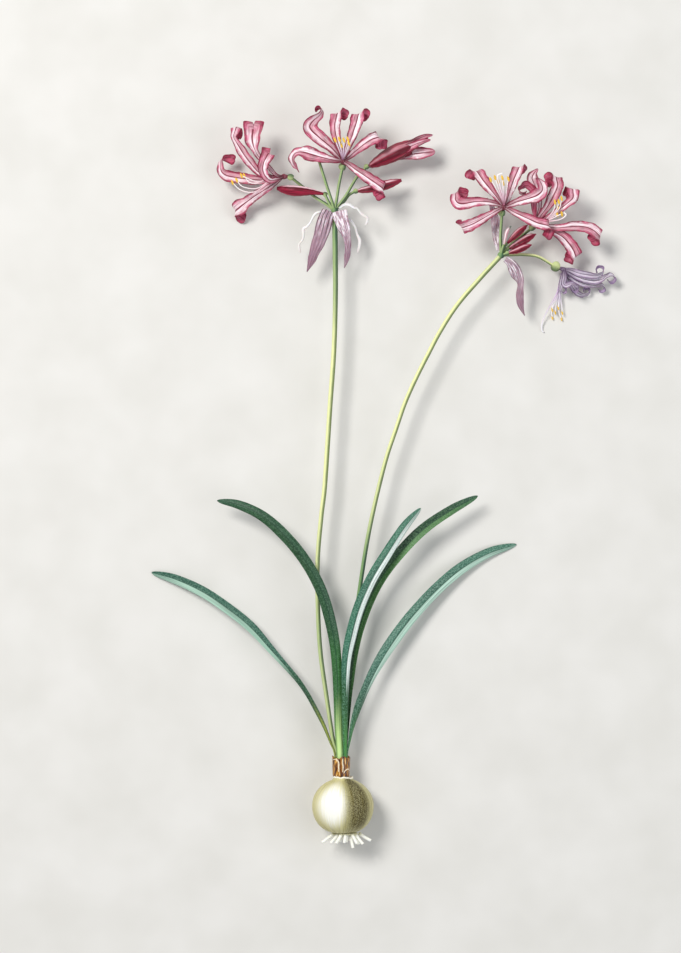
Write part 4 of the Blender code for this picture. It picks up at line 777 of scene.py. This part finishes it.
THREADS = (
    ("left_thread_1", [(-6.3, 297.0, 15.4), (-12.1, 296.3, 17), (-14.5, 294.7, 17.2), (-16.5, 291, 16.8),
                       (-18.2, 289.2, 16), (-19.8, 288, 15), (-20, 283.5, 13.6), (-22, 280.5, 12.4),
                       (-21.5, 276.5, 11.4)], 1.35, (0.8, 1, 0.7, 1.1, 0.7, 1)),
    ("left_thread_2", [(-2.0, 298.3, 18.0), (0.5, 300, 19.4), (3, 300, 19.8), (5.5, 298.5, 19.6),
                       (7, 298.2, 19.2), (9.2, 295.6, 18.4), (11.8, 294, 17.4), (12.1, 292.1, 16.6),
                       (11.2, 289.6, 15.8)], 1.3, (0.7, 1, 0.8, 1.1, 0.9)),
    ("left_thread_3", [(-2.0, 296.2, 15.6), (2.5, 293.5, 15.2), (4, 292.1, 15), (6, 289.2, 14.6),
                       (7, 285.8, 14), (8.3, 283, 13.2), (8.3, 280.5, 12.4), (7.3, 276.2, 11.4)],
     1.45, (0.6, 0.9, 0.7, 1.1, 0.8)),
)
for name, points, width, outline in THREADS:
    skin = blade(points, width, PAPER_THICKNESS, outline=outline, trough=0.0, tip=PAPER_TIP,
                 tint=(1.0, 0.3, 0.4), steps=90, columns=8)
    make(name, [skin], [white_thread])


# Closed buds
# Each bud is six petals folded shut: a spindle, fattest towards its tip, crimson with a pale gleam
# along its upper side and a dark seam where two petals meet.
def bud_surface(name, dark, mid, gleam, tip_colour):
    """Satin petals folded shut: a dark seam every third of a turn, and streaks 0.4 mm apart between."""
    surface = finish_of(name, Roughness=0.4, Specular_IOR_Level=0.3, Subsurface_Weight=0.05,
                        Subsurface_Scale=0.001, Subsurface_Radius=(1.0, 0.3, 0.3))
    mark = add(surface, "Attribute", attribute_name="marks").outputs["Vector"]
    across, along, up = add(surface, "SeparateXYZ", (mark,)).outputs
    tinted = add(surface, "Attribute", attribute_name="tint").outputs["Vector"]
    gleam_turn, gleam_strength, seam_turn = add(surface, "SeparateXYZ", (tinted,)).outputs
    turn = add(surface, "Math", (up, across), operation="ARCTAN2")
    stretch = add(surface, "VectorMath", (mark, (6.0, 3.0, 6.0)), operation="MULTIPLY")
    streaks = add(surface, "TexNoise", (stretch, 1.0, 4.0))
    phase = add(surface, "Math", (turn, 3.0, seam_turn), operation="MULTIPLY_ADD")
    thirds = add(surface, "Math", (phase,), operation="COSINE")
    seam = add(surface, "MapRange", (thirds, 0.55, 0.98), **SOFT)
    tone = add(surface, "ValToRGB", (streaks,), [(0.36, dark), (0.66, mid)])
    offset = add(surface, "Math", (turn, gleam_turn), operation="SUBTRACT")
    nearness = add(surface, "Math", (offset,), operation="COSINE")
    near = add(surface, "MapRange", (nearness, 0.93, 1.0), **SOFT)
    gleam_share = add(surface, "Math", (near, gleam_strength), operation="MULTIPLY")
    seamed = add(surface, "Mix", (seam, tone, dark), data_type="RGBA")
    gleaming = add(surface, "Mix", (gleam_share, seamed, gleam), data_type="RGBA")
    end = add(surface, "MapRange", (along, 0.72, 0.98), **SOFT)
    whole = add(surface, "Mix", (end, gleaming, tip_colour), data_type="RGBA")
    height = add(surface, "Math", (seam, -1.2, streaks), operation="MULTIPLY_ADD")
    relief = add(surface, "Bump", (0.6, 0.0002, SLOPE_WIDTH, height))
    dress(surface, whole, relief)
    return surface


crimson_bud = bud_surface("satin_crimson_bud", "#5a071c", "#ae2444", "#f8d0da", "#851835")
young_bud = bud_surface("young_white_bud", "#c98f9c", "#f3d6da", "#ffffff", "#5f6f62")
BUDS = (
    ("left_bud_low", (0.8, 1.2, 1.7, 2.2, 2.6, 2.75, 2.5, 1.9, 0.9), (2.45, 1.0, 0.3),
     [(-9.8, 305.8, 15.8), (-16.1, 306.8, 16), (-26, 307.5, 15.6), (-33, 308.6, 14.4)]),
    ("left_bud_right", (0.9, 1.6, 1.95, 2.15, 2.4, 2.45, 2.2, 1.6, 0.8), (0.9, 0.9, 0.9),
     [(7.4, 307.2, 14.0), (14, 308.3, 14), (22, 310.3, 13.7), (29.3, 312.7, 13.2)]),
    ("right_bud_near", (0.75, 1.2, 1.6, 1.78, 1.7, 1.2, 0.3), (0.7, 0.55, 0.4),
     [(82.2, 281.0, 17.0), (86, 284.6, 17), (89.5, 287.7, 16.8), (92.3, 290, 16.6)]),
    ("right_bud_low", (0.8, 1.45, 1.95, 2.15, 2.05, 1.5, 0.4), (0.8, 0.7, 1.4),
     [(83.2, 278.4, 14.8), (88, 280.9, 14), (92.5, 283.5, 13.6), (96.7, 285.7, 13.2)]),
    ("right_bud_high", (0.7, 1.2, 1.6, 1.78, 1.7, 1.2, 0.35), (1.0, 0.6, 0.2),
     [(83.0, 276.0, 17.3), (87, 277.2, 17.6), (90.8, 278.8, 17.7), (94.3, 280.1, 17.6)]),
)
for name, radii, tint, points in BUDS:
    make(name, [stalk(points, radii, 60, 30, (3, 0.05), tint)], [crimson_bud])
skin = stalk([(80.45, 280.3, 19.2), (81.1, 283.6, 20.1), (82, 286.8, 20.6), (83.8, 289.2, 20.8)],
             (0.5, 0.6, 0.8, 0.95, 0.8, 0.3), 40, 20, (3, 0.05), (1.2, 0.8, 0.0))
make("right_bud_young", [skin], [young_bud])


# Blooms
# Six narrow petals leave a very short tube, bend outwards, and roll over sideways at their wavy ends.
# Each has one dark crimson line along its middle, beside a band that shines almost white.
def petal_surface(name, shine_colour, pale, flesh, rose, deep, rib_colour, back, back_dark):
    """Petal: satin of small domed cells. A band beside the midline is a painted highlight, as strong on
    each half as its tint.

    Streaks follow the length, 0.5 mm apart, blotches are 3 mm across, and the base and edges are deeper in
    painted shade; the highlight fades where the end curls away.
    """
    surface = finish_of(name, Roughness=0.42, Specular_IOR_Level=0.25, Subsurface_Weight=0.06,
                        Subsurface_Scale=0.0006, Subsurface_Radius=(1.0, 0.4, 0.4))
    mark = add(surface, "Attribute", attribute_name="marks").outputs["Vector"]
    across, along, up = add(surface, "SeparateXYZ", (mark,)).outputs
    tinted = add(surface, "Attribute", attribute_name="tint").outputs["Vector"]
    left_shine, right_shine = add(surface, "SeparateXYZ", (tinted,)).outputs[:2]
    seeded = add(surface, "VectorMath", (mark, tinted), operation="ADD")
    stretch = add(surface, "VectorMath", (seeded, (6.5, 5.0, 4.0)), operation="MULTIPLY")
    streaks = add(surface, "TexNoise", (stretch, 1.0, 4.0))
    position = add(surface, "TexCoord").outputs["Object"]
    blotches = add(surface, "TexNoise", (position, 330.0, 3.0))
    distance = add(surface, "Math", (across,), operation="ABSOLUTE")
    mottle = add(surface, "Math", (blotches, streaks), operation="ADD")
    edge = add(surface, "Math", (distance, 4.0), operation="POWER")
    margin = add(surface, "Math", (edge, -0.26, mottle), operation="MULTIPLY_ADD")
    halved = add(surface, "Math", (margin, 0.5), operation="MULTIPLY")
    ground = add(surface, "ValToRGB", (halved,), [(0.29, deep), (0.62, pale), (0.41, rose), (0.51, flesh)])
    half = add(surface, "MapRange", (across, -0.05, 0.05), **SOFT)
    shine = add(surface, "Mix", (half, right_shine, left_shine))
    rise = add(surface, "MapRange", (distance, 0.04, 0.14), **SOFT)
    uneven = add(surface, "Math", (blotches, 1.1, distance), operation="MULTIPLY_ADD")
    fall = add(surface, "MapRange", (uneven, 0.95, 1.42, 1.0, 0.0), **SOFT)
    band = add(surface, "Math", (rise, fall), operation="MULTIPLY")
    gleam = add(surface, "MapRange", (streaks, 0.32, 0.62, 0.35, 1.1))
    # Painted shade: the highlight band weakens where the end curls away.
    curled = add(surface, "MapRange", (along, 0.80, 0.95, 1.0, 0.35), **SOFT)
    band_end = add(surface, "Math", (band, curled), operation="MULTIPLY")
    band_light = add(surface, "Math", (band_end, gleam), operation="MULTIPLY")
    band_highlight_share = add(surface, "Math", (band_light, shine), operation="MULTIPLY", use_clamp=True)
    # Painted shade: the foot of each petal turns deep crimson.
    foot = add(surface, "MapRange", (along, 0.03, 0.34, 0.85, 0.0), **SOFT)
    base_shaded = add(surface, "Mix", (foot, ground, deep), data_type="RGBA")
    grown = add(surface, "MapRange", (along, 0.02, 0.30, 0.3), **SOFT)
    painted_highlight_share = add(surface, "Math", (band_highlight_share, grown), operation="MULTIPLY")
    banded = add(surface, "Mix", (painted_highlight_share, base_shaded, shine_colour), data_type="RGBA")
    line = add(surface, "MapRange", (distance, 0.03, 0.12, 0.95, 0.0), **SOFT)
    lined = add(surface, "Mix", (line, banded, rib_colour), data_type="RGBA")
    reverse = add(surface, "ValToRGB", (halved,), [(0.40, back_dark), (0.58, back)])
    facing = add(surface, "MapRange", (up, -0.6, 0.2, 1.0, 0.0))
    # The back shows the same band as a painted highlight.
    back_highlight_share = add(surface, "Math", (band_highlight_share, 0.8), operation="MULTIPLY")
    back_highlighted = add(surface, "Mix", (back_highlight_share, reverse, pale), data_type="RGBA")
    both = add(surface, "Mix", (facing, lined, back_highlighted), data_type="RGBA")
    height = add(surface, "Math", (line, -0.5, streaks), operation="MULTIPLY_ADD")
    relief = add(surface, "Bump", (0.7, 0.00025, SLOPE_WIDTH, height))
    dress(surface, both, relief)
    return surface


pink_petal = petal_surface("satin_pink_petal", "#ffeef4", "#db8ca5", "#ba5470", "#902d48", "#5f0a22",
                           "#680820", "#c24f6c", "#7e1b38")
wilted_petal = petal_surface("wilted_lilac_petal", "#f3ecf6", "#c9b6cd", "#a08aa6", "#7d6683", "#533c5a",
                             "#452d4c", "#c0aac8", "#7b6488")
PETAL_THICKNESS = 0.42


def bloom(name, foot, heart, heart_radius, petals, surfaces, slot, more=(), **shape):
    """The petals of one bloom, their bases sunk in its short tube, which stands on the ovary at its foot.

    The tube's marks are those of a petal's foot, so it has the same deep colour, painted shade of the
    throat.
    """
    shells = [pod(heart, (0.3, 1.0, 0.2), (heart_radius, heart_radius), (6, 0.05), tint=(0.2, 0.2, 0.3)),
              stalk([foot, heart], (0.75, 1.0, heart_radius * 0.9), 12, 18, (6, 0.06), (0.2, 0.2, 0.3))]
    for skin in shells:
        skin["marks"][:, 1] *= 0.1
    for number, (width, rolls, curl, tint, points, *own) in enumerate(petals):
        form = dict(shape, **own[0]) if own else shape
        tint = (*tint, 0.13 + 0.37 * number)
        shells.append(blade([heart, *points], width, PETAL_THICKNESS, rolls, curl, tint=tint, **form))
    make(name, shells + list(more), surfaces)


WAVY = dict(wave=(0.35, 3.0), frill=0.24, steps=110, tip=0.945, loosen=0.6)
bloom("bloom_left", (-27.6, 314.2, 17.3), (-29.45, 314.2, 17.3), 1.4, [
    (5.2, (-40, 0, 0, 0), (2.1, 0.56, -14), (0.95, 0.5),
     [(-33.6, 313.6, 18), (-38, 314.4, 19), (-42.2, 316.2, 20), (-45.8, 320.2, 20.8),
      (-49.4, 324.8, 21.2), (-52.7, 330.2, 21), (-54.6, 333.6, 20.8), (-53.9, 336.4, 20.8)],
     dict(outline=(0.34, 0.5, 0.7, 0.95, 0.95, 0.55, 1.0, 0.85), ends=(-1.8, 0.6, -1.8))),
    (10.0, (-60, 0, 0), (2.2, 0.14, 0), (0.9, 0.8),
     [(-33, 314.8, 19.6), (-37, 318.6, 21.4), (-41, 322.4, 23), (-43.4, 325.8, 24.2), (-44.8, 329.8, 25),
      (-45.2, 333.4, 24.8), (-44.9, 336.4, 24.6)],
     dict(outline=(0.25, 0.25, 0.22, 0.3, 0.8, 1.05), tip=0.97, ends=(2.0, -1.4, 3.6), wave=(0.5, 2.0))),
    (5.6, (-80, -30, 0, 0), (1.6, 0.24, -24), (0.3, 1.0),
     [(-33, 312.6, 20.4), (-36.2, 312.0, 22.8), (-38.6, 313.8, 24.8), (-39.9, 317.0, 26),
      (-39.4, 320.4, 26.6), (-38.2, 323.0, 26.4)],
     dict(outline=(0.4, 0.5, 0.72, 1.0, 1.5), trough=0.14, ends=(3.0, 0.3, -0.6), tip=0.92)),
    (5.8, (0, 0, 0, -15), (1.7, 0.62, -36), (0.95, 0.35),
     [(-33, 313.2, 15), (-38, 312.7, 13.6), (-45.5, 313.0, 12.4), (-52.6, 314.0, 12), (-58.4, 315.2, 12),
      (-61.0, 317.4, 12), (-61.3, 321.0, 12)], dict(outline=(0.34, 0.62, 0.92, 1.0, 0.5, 1.0))),
    (6.0, (50, 10, 0, 0), (1.8, 0.6, 36), (0.9, 0.8),
     [(-32.6, 311.8, 16.2), (-38.4, 308.3, 13.8), (-45, 304.4, 10.6), (-49.4, 301.4, 8.4),
      (-52.6, 299.0, 7.4)],
     dict(outline=(0.34, 0.5, 0.68, 0.8, 0.9, 1.4, 0.75, 1.1))),
    (4.2, (0, 0, 0), (2.0, 0.4, 0), (0.4, 0.4),
     [(-32.8, 313.6, 13.6), (-38, 313.5, 10.6), (-45, 313.8, 7.6), (-51, 315, 6)]),
], [pink_petal], "tepal_pink", **WAVY)
bloom("bloom_left_open", (-0.1, 320.2, 20.4), (-0.1, 321.6, 21.6), 1.45, [
    (6.6, (0, 0, 0, 0, 25, 65), (1.25, 0.6, 0), (0.85, 0.5),
     [(-3, 325, 23.8), (-6.6, 328.6, 25.5), (-11.6, 332.6, 27), (-15.6, 336.2, 27.8),
      (-16.6, 338.6, 27.8), (-15.0, 341.0, 27.2), (-12.2, 343.6, 26.4), (-10.6, 345.8, 25.8)],
     dict(outline=(0.35, 0.72, 1.04, 1.1, 0.72, 0.5), tip=0.93)),
    (6.0, (0, 0, 0, -12), (1.4, 0.56, -38), (0.3, 1.0),
     [(-0.9, 325.5, 24), (-2.4, 329.6, 25.8), (-3.7, 335, 27.4), (-4.0, 339.6, 27.4), (-3.2, 343.4, 26.8)],
     dict(outline=(0.34, 0.52, 0.85, 1.0, 0.95))),
    (6.9, (0, 0, 0, -12), (1.4, 0.56, -38), (0.35, 1.0),
     [(1.2, 325.4, 24), (3.2, 330.2, 26), (5.2, 335.8, 27.4), (6.6, 340.0, 27.4), (7.4, 343.2, 26.8)],
     dict(outline=(0.34, 0.5, 0.78, 1.02, 0.9))),
    (6.1, (0, 0, 0, -12), (1.5, 0.58, -36), (0.95, 0.4),
     [(3.2, 323.8, 23.8), (7.2, 327, 25.6), (11.6, 330.2, 27), (14.6, 332.0, 27), (16.4, 332.6, 26.6)],
     dict(outline=(0.34, 0.6, 0.9, 1.05, 1.0))),
    (5.8, (0, 0, 0, 0, 30, 60, 60), (0, 0, 0), (0.3, 1.0),
     [(-4, 321.8, 23.6), (-9, 322.7, 25), (-15.2, 324.3, 26.4), (-20.0, 325.6, 26.8),
      (-23.2, 325.2, 26.6), (-25.0, 323.0, 26.0), (-24.6, 320.2, 25.2), (-23.1, 317.8, 24.6),
      (-21.9, 315.6, 24)],
     dict(outline=(0.34, 0.6, 0.95, 1.3, 0.9, 0.8, 0.2), tip=0.95)),
    (6.2, (0, 0, 0, -10), (1.5, 0.6, -32), (0.3, 1.0),
     [(3, 319.6, 23.6), (6.6, 316.8, 25.2), (11.2, 313.6, 26.6), (15.8, 310.4, 26.8), (18.6, 308.4, 26.4)],
     dict(outline=(0.34, 0.6, 0.92, 1.05, 1.0))),
], [pink_petal], "tepal_pink", **WAVY)

# The half-open bloom: a closed body, a dark pod in its mouth that is painted shade, and three lips of
# petals that part from it.
LIP = dict(trough=0.2, outline=(0.4, 0.85, 1.0, 0.8, 0.35))
body = stalk([(13.8, 319.9, 14.5), (20, 323.2, 14.8), (27.4, 326.9, 15.4), (35.4, 330.6, 15.9),
              (42.6, 333.4, 16.4)], (1.5, 2.6, 3.4, 3.9, 4.0, 3.4, 2.5, 1.6, 0.7), 70, 36, (6, 0.05),
             (1.2, 0.28, 0.6), 1)
shaded_mouth = pod((31.2, 325.6, 14.9), (1.0, 0.2, 0.0), (3.6, 1.5), (2, 0.05), tint=(0, 0, 0.2))
shaded_mouth["marks"][:, :2] = 0.0
bloom("bloom_half_open", (12.7, 319.6, 14.4), (14.6, 320.2, 14.6), 1.45, [
    (4.6, (70, 45, 30), (0, 0, 0), (0.35, 0.35),
     [(20, 323.2, 14.8), (27.4, 327.6, 15.8), (34.2, 331.6, 17.4), (40.8, 334.4, 17.6), (45.0, 335.0, 17)],
     LIP),
    (4.4, (20, 10, 0), (0, 0, 0), (0.6, 0.3),
     [(20, 323.2, 14.8), (27, 326.2, 16.2), (34.2, 329.4, 18.4), (39.8, 331.6, 18.6), (43.8, 332.5, 18)],
     LIP),
    (5.6, (10, 0, 0), (0, 0, 0), (0.95, 0.85),
     [(19.5, 321.8, 13.6), (26, 324.4, 13.4), (31.5, 325.2, 13.2), (38.4, 326.2, 13.8),
      (46.2, 326.9, 13.4)],
     dict(outline=(0.5, 0.7, 0.75, 1.15, 0.6), wave=(0.3, 3.0))),
], [pink_petal, crimson_bud], "tepal_pink", more=[body, shaded_mouth], steps=72, wave=(0.12, 3.0), frill=0.08)

bloom("bloom_right_open", (79.7, 297.2, 21.2), (80.2, 298.6, 22.4), 1.45, [
    (6.6, (0, 0, 0, 10), (1.4, 0.6, 36), (1.0, 0.3),
     [(78.2, 301.2, 24), (75.7, 304.2, 25.6), (72.0, 308.6, 27), (69.2, 312.2, 27.2), (67.4, 314.8, 26.8)],
     dict(outline=(0.34, 0.5, 0.85, 1.0, 0.85))),
    (5.8, (0, 0, 0, -10), (1.5, 0.6, -38), (1.0, 0.3),
     [(77.4, 299.8, 23.8), (72, 300.9, 25), (66, 300.9, 26.2), (60.6, 300.0, 26.6), (57.6, 300.2, 26.6),
      (56.0, 301.8, 26.4), (56.0, 303.8, 26)],
     dict(outline=(0.34, 0.55, 0.85, 1.1, 0.8, 1.0))),
    (5.6, (0, 0, 0, -10), (1.5, 0.5, -26), (0.9, 0.7),
     [(77.6, 297.2, 23.6), (72.5, 294.3, 25), (66.8, 291, 26.2), (63.2, 289.3, 26.2), (61.0, 288.6, 25.8)],
     dict(outline=(0.34, 0.6, 0.92, 1.15, 1.1), ends=(2.8, 0.8, 0.0))),
    (6.2, (0, 0, 0, -10), (1.05, 0.56, -34), (0.3, 1.0),
     [(81.6, 301.6, 24), (83.1, 306.5, 25.8), (84.7, 311.4, 27.2), (86.2, 315.0, 27.2),
      (87.2, 317.2, 26.6)],
     dict(outline=(0.34, 0.55, 0.85, 0.98, 0.8))),
    (6.0, (0, 0, 0, 20, 80), (0, 0, 0), (0.5, 1.0),
     [(82.8, 299.4, 24), (86.5, 300.8, 25.4), (91, 302.1, 26.8), (96.0, 303.8, 27.8), (98.8, 306.2, 28.2),
      (98.8, 309.0, 28), (97.2, 312.2, 27.2), (96.4, 314.6, 26.6)],
     dict(outline=(0.34, 0.6, 0.85, 1.2, 0.85, 0.35), tip=0.93)),
    (5.8, (0, 0, 0, -20), (1.3, 0.62, -40), (0.3, 1.0),
     [(82.4, 297.4, 23.8), (86.4, 295.2, 25.2), (91.8, 292.6, 26.4), (97.1, 290.2, 26.8),
      (101.0, 289.2, 26.4)],
     dict(outline=(0.34, 0.6, 0.95, 1.05, 1.1), ends=(0.6, 0.0, -1.0))),
], [pink_petal], "tepal_pink", **WAVY)
bloom("bloom_right", (95.7, 289.8, 15.2), (97.0, 291.0, 16.3), 1.45, [
    (4.4, (20, 150, 180, 150, 120), (1.4, 0.6, 0), (0.5, 0.9),
     [(95.8, 294.4, 18), (95.2, 298.6, 20), (95.2, 303.6, 21.4), (94.2, 307.6, 22), (91.4, 309.4, 22.4),
      (88.6, 307.8, 22.4)], dict(outline=(0.34, 0.6, 0.9, 1.0, 0.6))),
    (4.8, (10, 0, 0), (0, 0, 0), (1.0, 1.0),
     [(97.2, 295, 17.6), (97.8, 300, 19), (97.2, 306, 20), (95.2, 310.4, 21.6), (94.2, 313, 22.4),
      (95.2, 315.4, 22.6), (97.2, 317.6, 22.4)], dict(outline=(0.34, 0.6, 0.7, 0.6, 1.15, 0.3))),
    (6.2, (0, 0, 0, 10), (1.3, 0.62, 38), (0.95, 0.4),
     [(98.7, 294.4, 18.4), (102.0, 299, 21.2), (104.8, 304, 22.8), (106.8, 308.8, 23.2),
      (106.4, 312.2, 23)],
     dict(outline=(0.34, 0.6, 0.95, 1.0, 0.75), ends=(0.0, -0.8, -3.6))),
    (5.6, (0, 0, 0, 10), (1.7, 0.62, 14), (0.3, 1.0),
     [(100.4, 292.8, 18), (104.2, 294.8, 20), (108.0, 297.4, 21.4), (111.8, 300.4, 22.2),
      (114.6, 303.2, 22.4), (114.6, 306.0, 22.2)],
     dict(outline=(0.34, 0.5, 0.7, 1.15, 0.8), ends=(0.6, 0.0, -2.0))),
    (5.6, (0, 0, 0, -10), (1.7, 0.56, -26), (0.95, 0.4),
     [(100.4, 289.8, 17), (105, 288.6, 18.4), (110, 288.6, 19.4), (115.5, 289.2, 19.8),
      (121.0, 288.8, 19.8), (125.0, 287.2, 19.2), (127.4, 285.2, 18.6)],
     dict(outline=(0.34, 0.6, 0.95, 1.1, 1.0), ends=(-2.0, 0.0, 0.0))),
    (6.4, (0, 0, 0, -10), (1.6, 0.62, -24), (0.3, 1.0),
     [(99.8, 289, 16.2), (104.6, 287, 16.4), (109.5, 284.4, 16.4), (112.8, 281.2, 15.6),
      (115.2, 277.8, 14.4), (116.2, 275.6, 13.8)], dict(outline=(0.34, 0.6, 1.0, 1.1, 0.85))),
], [pink_petal], "tepal_pink", **WAVY)
bloom("bloom_withered", (108.6, 268.9, 8.8), (110.9, 268.3, 8.6), 1.2, [
    (3.6, (0, 0, 20, 62), (2.2, 0.85, 0), (0.5, 0.6),
     [(114.2, 267.8, 9.6), (117.5, 266.6, 10.2), (122.9, 265.4, 10.4), (127, 265.2, 10.4),
      (129.4, 266, 10.2)]),
    (4.0, (0, 0, -20, -62), (2.2, 0.8, 0), (0.9, 0.8),
     [(114.4, 266.3, 8.6), (120.3, 263.6, 8), (125.7, 262.6, 7.4), (129.8, 263, 7.2), (132, 264.6, 7.4),
      (134, 265.3, 7.4)]),
    (4.0, (0, 0, -20, -62), (1.8, 0.7, 0), (0.9, 0.9),
     [(113.8, 265.4, 6.8), (116.8, 263.2, 5.6), (121, 261.4, 4.8), (125.7, 260.5, 4.4), (130, 260.4, 4)]),
    (3.2, (0, 0, 20, 62), (1.9, 0.8, 0), (0.5, 0.6),
     [(112.4, 264.8, 7), (114.4, 261.6, 5.2), (117, 257.9, 3.8), (120, 255.9, 3.4), (122.6, 256, 3.2)]),
    (2.9, (0, 20, -20, -62), (1.7, 0.7, 0), (0.25, 0.5),
     [(111.3, 264.6, 10.1), (110.8, 261, 10.9), (112, 260, 11.5), (114.9, 260.9, 11.5),
      (117.2, 259.6, 10.9)]),
    (2.6, (0, 0, 20, 62), (1.6, 0.8, 0), (0.5, 0.6),
     [(110.4, 264.8, 8.4), (109.7, 261.2, 8), (109.6, 258, 7)]),
], [wilted_petal], "withered_lilac", outline=(0.5, 0.9, 1, 0.95, 0.8), trough=0.13, wave=(0.22, 4.0),
      frill=0.1, steps=84, columns=16, tip=0.965)


# Stamens and styles
# Six white filaments with golden anthers stand over the heart of a bloom, and the style with them.
# Each anther is hung by its middle and split along its length, where its pollen comes out.
filament_skin = finish_of("white_filament", Roughness=0.35, Subsurface_Weight=0.2,
                          Subsurface_Scale=0.0006, Subsurface_Radius=(1.0, 0.8, 0.8))
mark = add(filament_skin, "Attribute", attribute_name="marks").outputs["Vector"]
along = add(filament_skin, "SeparateXYZ", (mark,)).outputs["Y"]
tinted = add(filament_skin, "Attribute", attribute_name="tint").outputs["Vector"]
withered = add(filament_skin, "SeparateXYZ", (tinted,)).outputs["X"]
pink_end = add(filament_skin, "ValToRGB", (along,),
               [(0.0, "#b8506c"), (0.9, "#fff8f6"), (0.25, "#f0c3cf")])
lilac_end = add(filament_skin, "ValToRGB", (along,),
                [(0.0, "#8a6b9c"), (0.9, "#f4f0f6"), (0.35, "#cdb8d6")])
chosen = add(filament_skin, "Mix", (withered, pink_end, lilac_end), data_type="RGBA")
dress(filament_skin, chosen)

# Pollen: a dry golden powder with grains clumped 0.2 mm across.
pollen = finish_of("golden_pollen", Roughness=0.8, Sheen_Weight=0.2)
position = add(pollen, "TexCoord").outputs["Object"]
clumps = add(pollen, "TexNoise", (position, 4800.0, 2.0))
gold = add(pollen, "ValToRGB", (clumps,), [(0.35, "#c98a1c"), (0.60, "#ffd84a")])
relief = add(pollen, "Bump", (0.6, 0.00015, SLOPE_WIDTH, clumps))
dress(pollen, gold, relief)


def stamens(name, heart, routes, anther, style, lilac=0.0, anther_radii=(1.45, 0.5)):
    """Filaments from a small cup, each with its anther across its end, and the style."""
    tint = (lilac, 0.5, 0.0)
    cup = pod(heart, (0.2, 1.0, 0.2), (0.6, 0.6), (6, 0.05), 10, 14, tint)
    cup["marks"][:, 1] *= 0.1
    shells = [cup]
    for route in routes:
        shells.append(stalk([heart, *route], (0.4, 0.28, 0.24), 30, 10, tint=tint))
        shells.append(pod(route[-1], anther, anther_radii, (2, 0.16), 14, 16, finish=1))
    if style:
        shells.append(stalk([heart, *style], (0.4, 0.3, 0.28, 0.36), 44, 10, tint=tint))
    make(name, shells, [filament_skin, pollen])


stamens("bloom_left_stamens", (-33.9, 314.0, 18.0), [
    [(-37, 312.8, 18.8), (-41.5, 310.8, 19.4), (-46.6, 311, 20), (-49.2, 314.3, 20.4)],
    [(-37, 311.8, 19.6), (-43, 308, 20.6), (-50, 308.8, 21.4), (-53, 312, 21.8)],
    [(-37, 311.2, 17.8), (-44.6, 306.4, 18.4), (-51.2, 307.4, 19), (-55.2, 311, 19.2)],
    [(-37.4, 313, 19.8), (-43, 311.4, 21.2), (-50.6, 314.2, 22.2)],
], (-1.0, 2.4, 0.4), None)
stamens("bloom_left_open_stamens", (-0.1, 322.6, 24.1), [
    [(-1.2, 325, 27.6), (-3, 329, 30.4), (-4, 331.2, 31.4)],
    [(-0.6, 325, 28.2), (-1.6, 329, 31), (-1.8, 331.4, 32)],
    [(0.2, 325, 28.6), (0.4, 329, 31.4), (0.4, 331, 32.6)],
    [(0.8, 324.8, 27.8), (1.8, 329, 30.4), (2.4, 331.6, 31.2)],
    [(1.2, 324.4, 28.8), (2.4, 327.6, 31.8), (2.9, 329.2, 32.8)],
    [(-0.4, 324.4, 27), (-0.8, 327.6, 29.4), (-0.8, 328.6, 30)],
], (-0.9, 2.3, 0.3), None, 0.6)
stamens("bloom_right_open_stamens", (80.1, 299.8, 24.9), [
    [(78.6, 302.6, 28), (75.4, 308, 30.6), (73.2, 311.4, 31.4)],
    [(78.8, 303, 28.6), (76.6, 308.6, 31.2), (75.4, 312.4, 32)],
    [(79.2, 302.6, 27.6), (77.8, 307.6, 29.8), (77.2, 310.6, 30.4)],
    [(79.8, 303, 28.8), (79.2, 308.6, 31.6), (79, 312.2, 32.4)],
    [(80.2, 302.6, 27.4), (79.8, 307, 29.4), (79.5, 309.8, 30)],
    [(80.8, 302.8, 28.2), (81.4, 308, 30.8), (82, 311.8, 31.6)],
], (-0.7, 2.4, 0.3), [(79.4, 303, 29.2), (77.6, 309, 32), (76.5, 313.2, 33), (79, 314.6, 33.2)], 0.2)
stamens("bloom_right_stamens", (99.2, 291.4, 18.7), [
    [(102.4, 293.6, 22.6), (105, 297.2, 24.6), (105.5, 300.8, 25.4)],
    [(102.6, 293.4, 22.2), (106.2, 297, 24), (107.4, 301, 25)],
    [(103, 293.2, 22), (107.6, 297.6, 24), (108.8, 302.6, 25.2)],
    [(102.8, 293, 21.8), (105.8, 296, 23.2), (107, 298.2, 23.8)],
    [(102.8, 292.6, 21.4), (105.2, 294.2, 22.4), (106.8, 294.8, 22.8)],
    [(103.2, 292.4, 21.8), (107, 294.2, 23.4), (109, 295, 23.8)],
], (-0.5, 2.4, 0.3), [(103.4, 291.6, 21.4), (108.3, 292.4, 22.8), (111, 294.4, 23.6), (110, 295.8, 23.8)],
        0.1)
stamens("bloom_withered_stamens", (109.9, 265.9, 6.3), [
    [(109, 262, 5.6), (108.2, 255, 4.6), (106, 251, 4), (105.4, 248.2, 3.8)],
    [(109.2, 262, 5), (108.6, 255, 3.8), (107.2, 250, 3), (107, 247, 2.8)],
    [(109.4, 262, 5.4), (109, 255, 4.4), (108.6, 251.4, 4), (108.4, 249.2, 3.8)],
    [(109.6, 262, 4.8), (109.6, 255, 3.4), (110.2, 250, 2.8), (110.5, 246.8, 2.6)],
    [(109, 262, 4.6), (107.6, 255, 3), (105.2, 249, 1.8), (105.6, 244.4, 1.2)],
    [(109.4, 262, 4.4), (109.2, 254, 2.6), (108.8, 248, 1.6), (110.2, 243.8, 1.2)],
], (-0.5, 2.4, -0.2), [(108.8, 261, 6), (107.6, 256.6, 6), (106, 253.4, 5.8), (103.8, 249.4, 4.6),
                       (101.5, 244.8, 3), (100.3, 241, 1.8), (100.5, 237.6, 0.9), (101.4, 237.2, 0.8)],
        0.9, (1.3, 0.36))
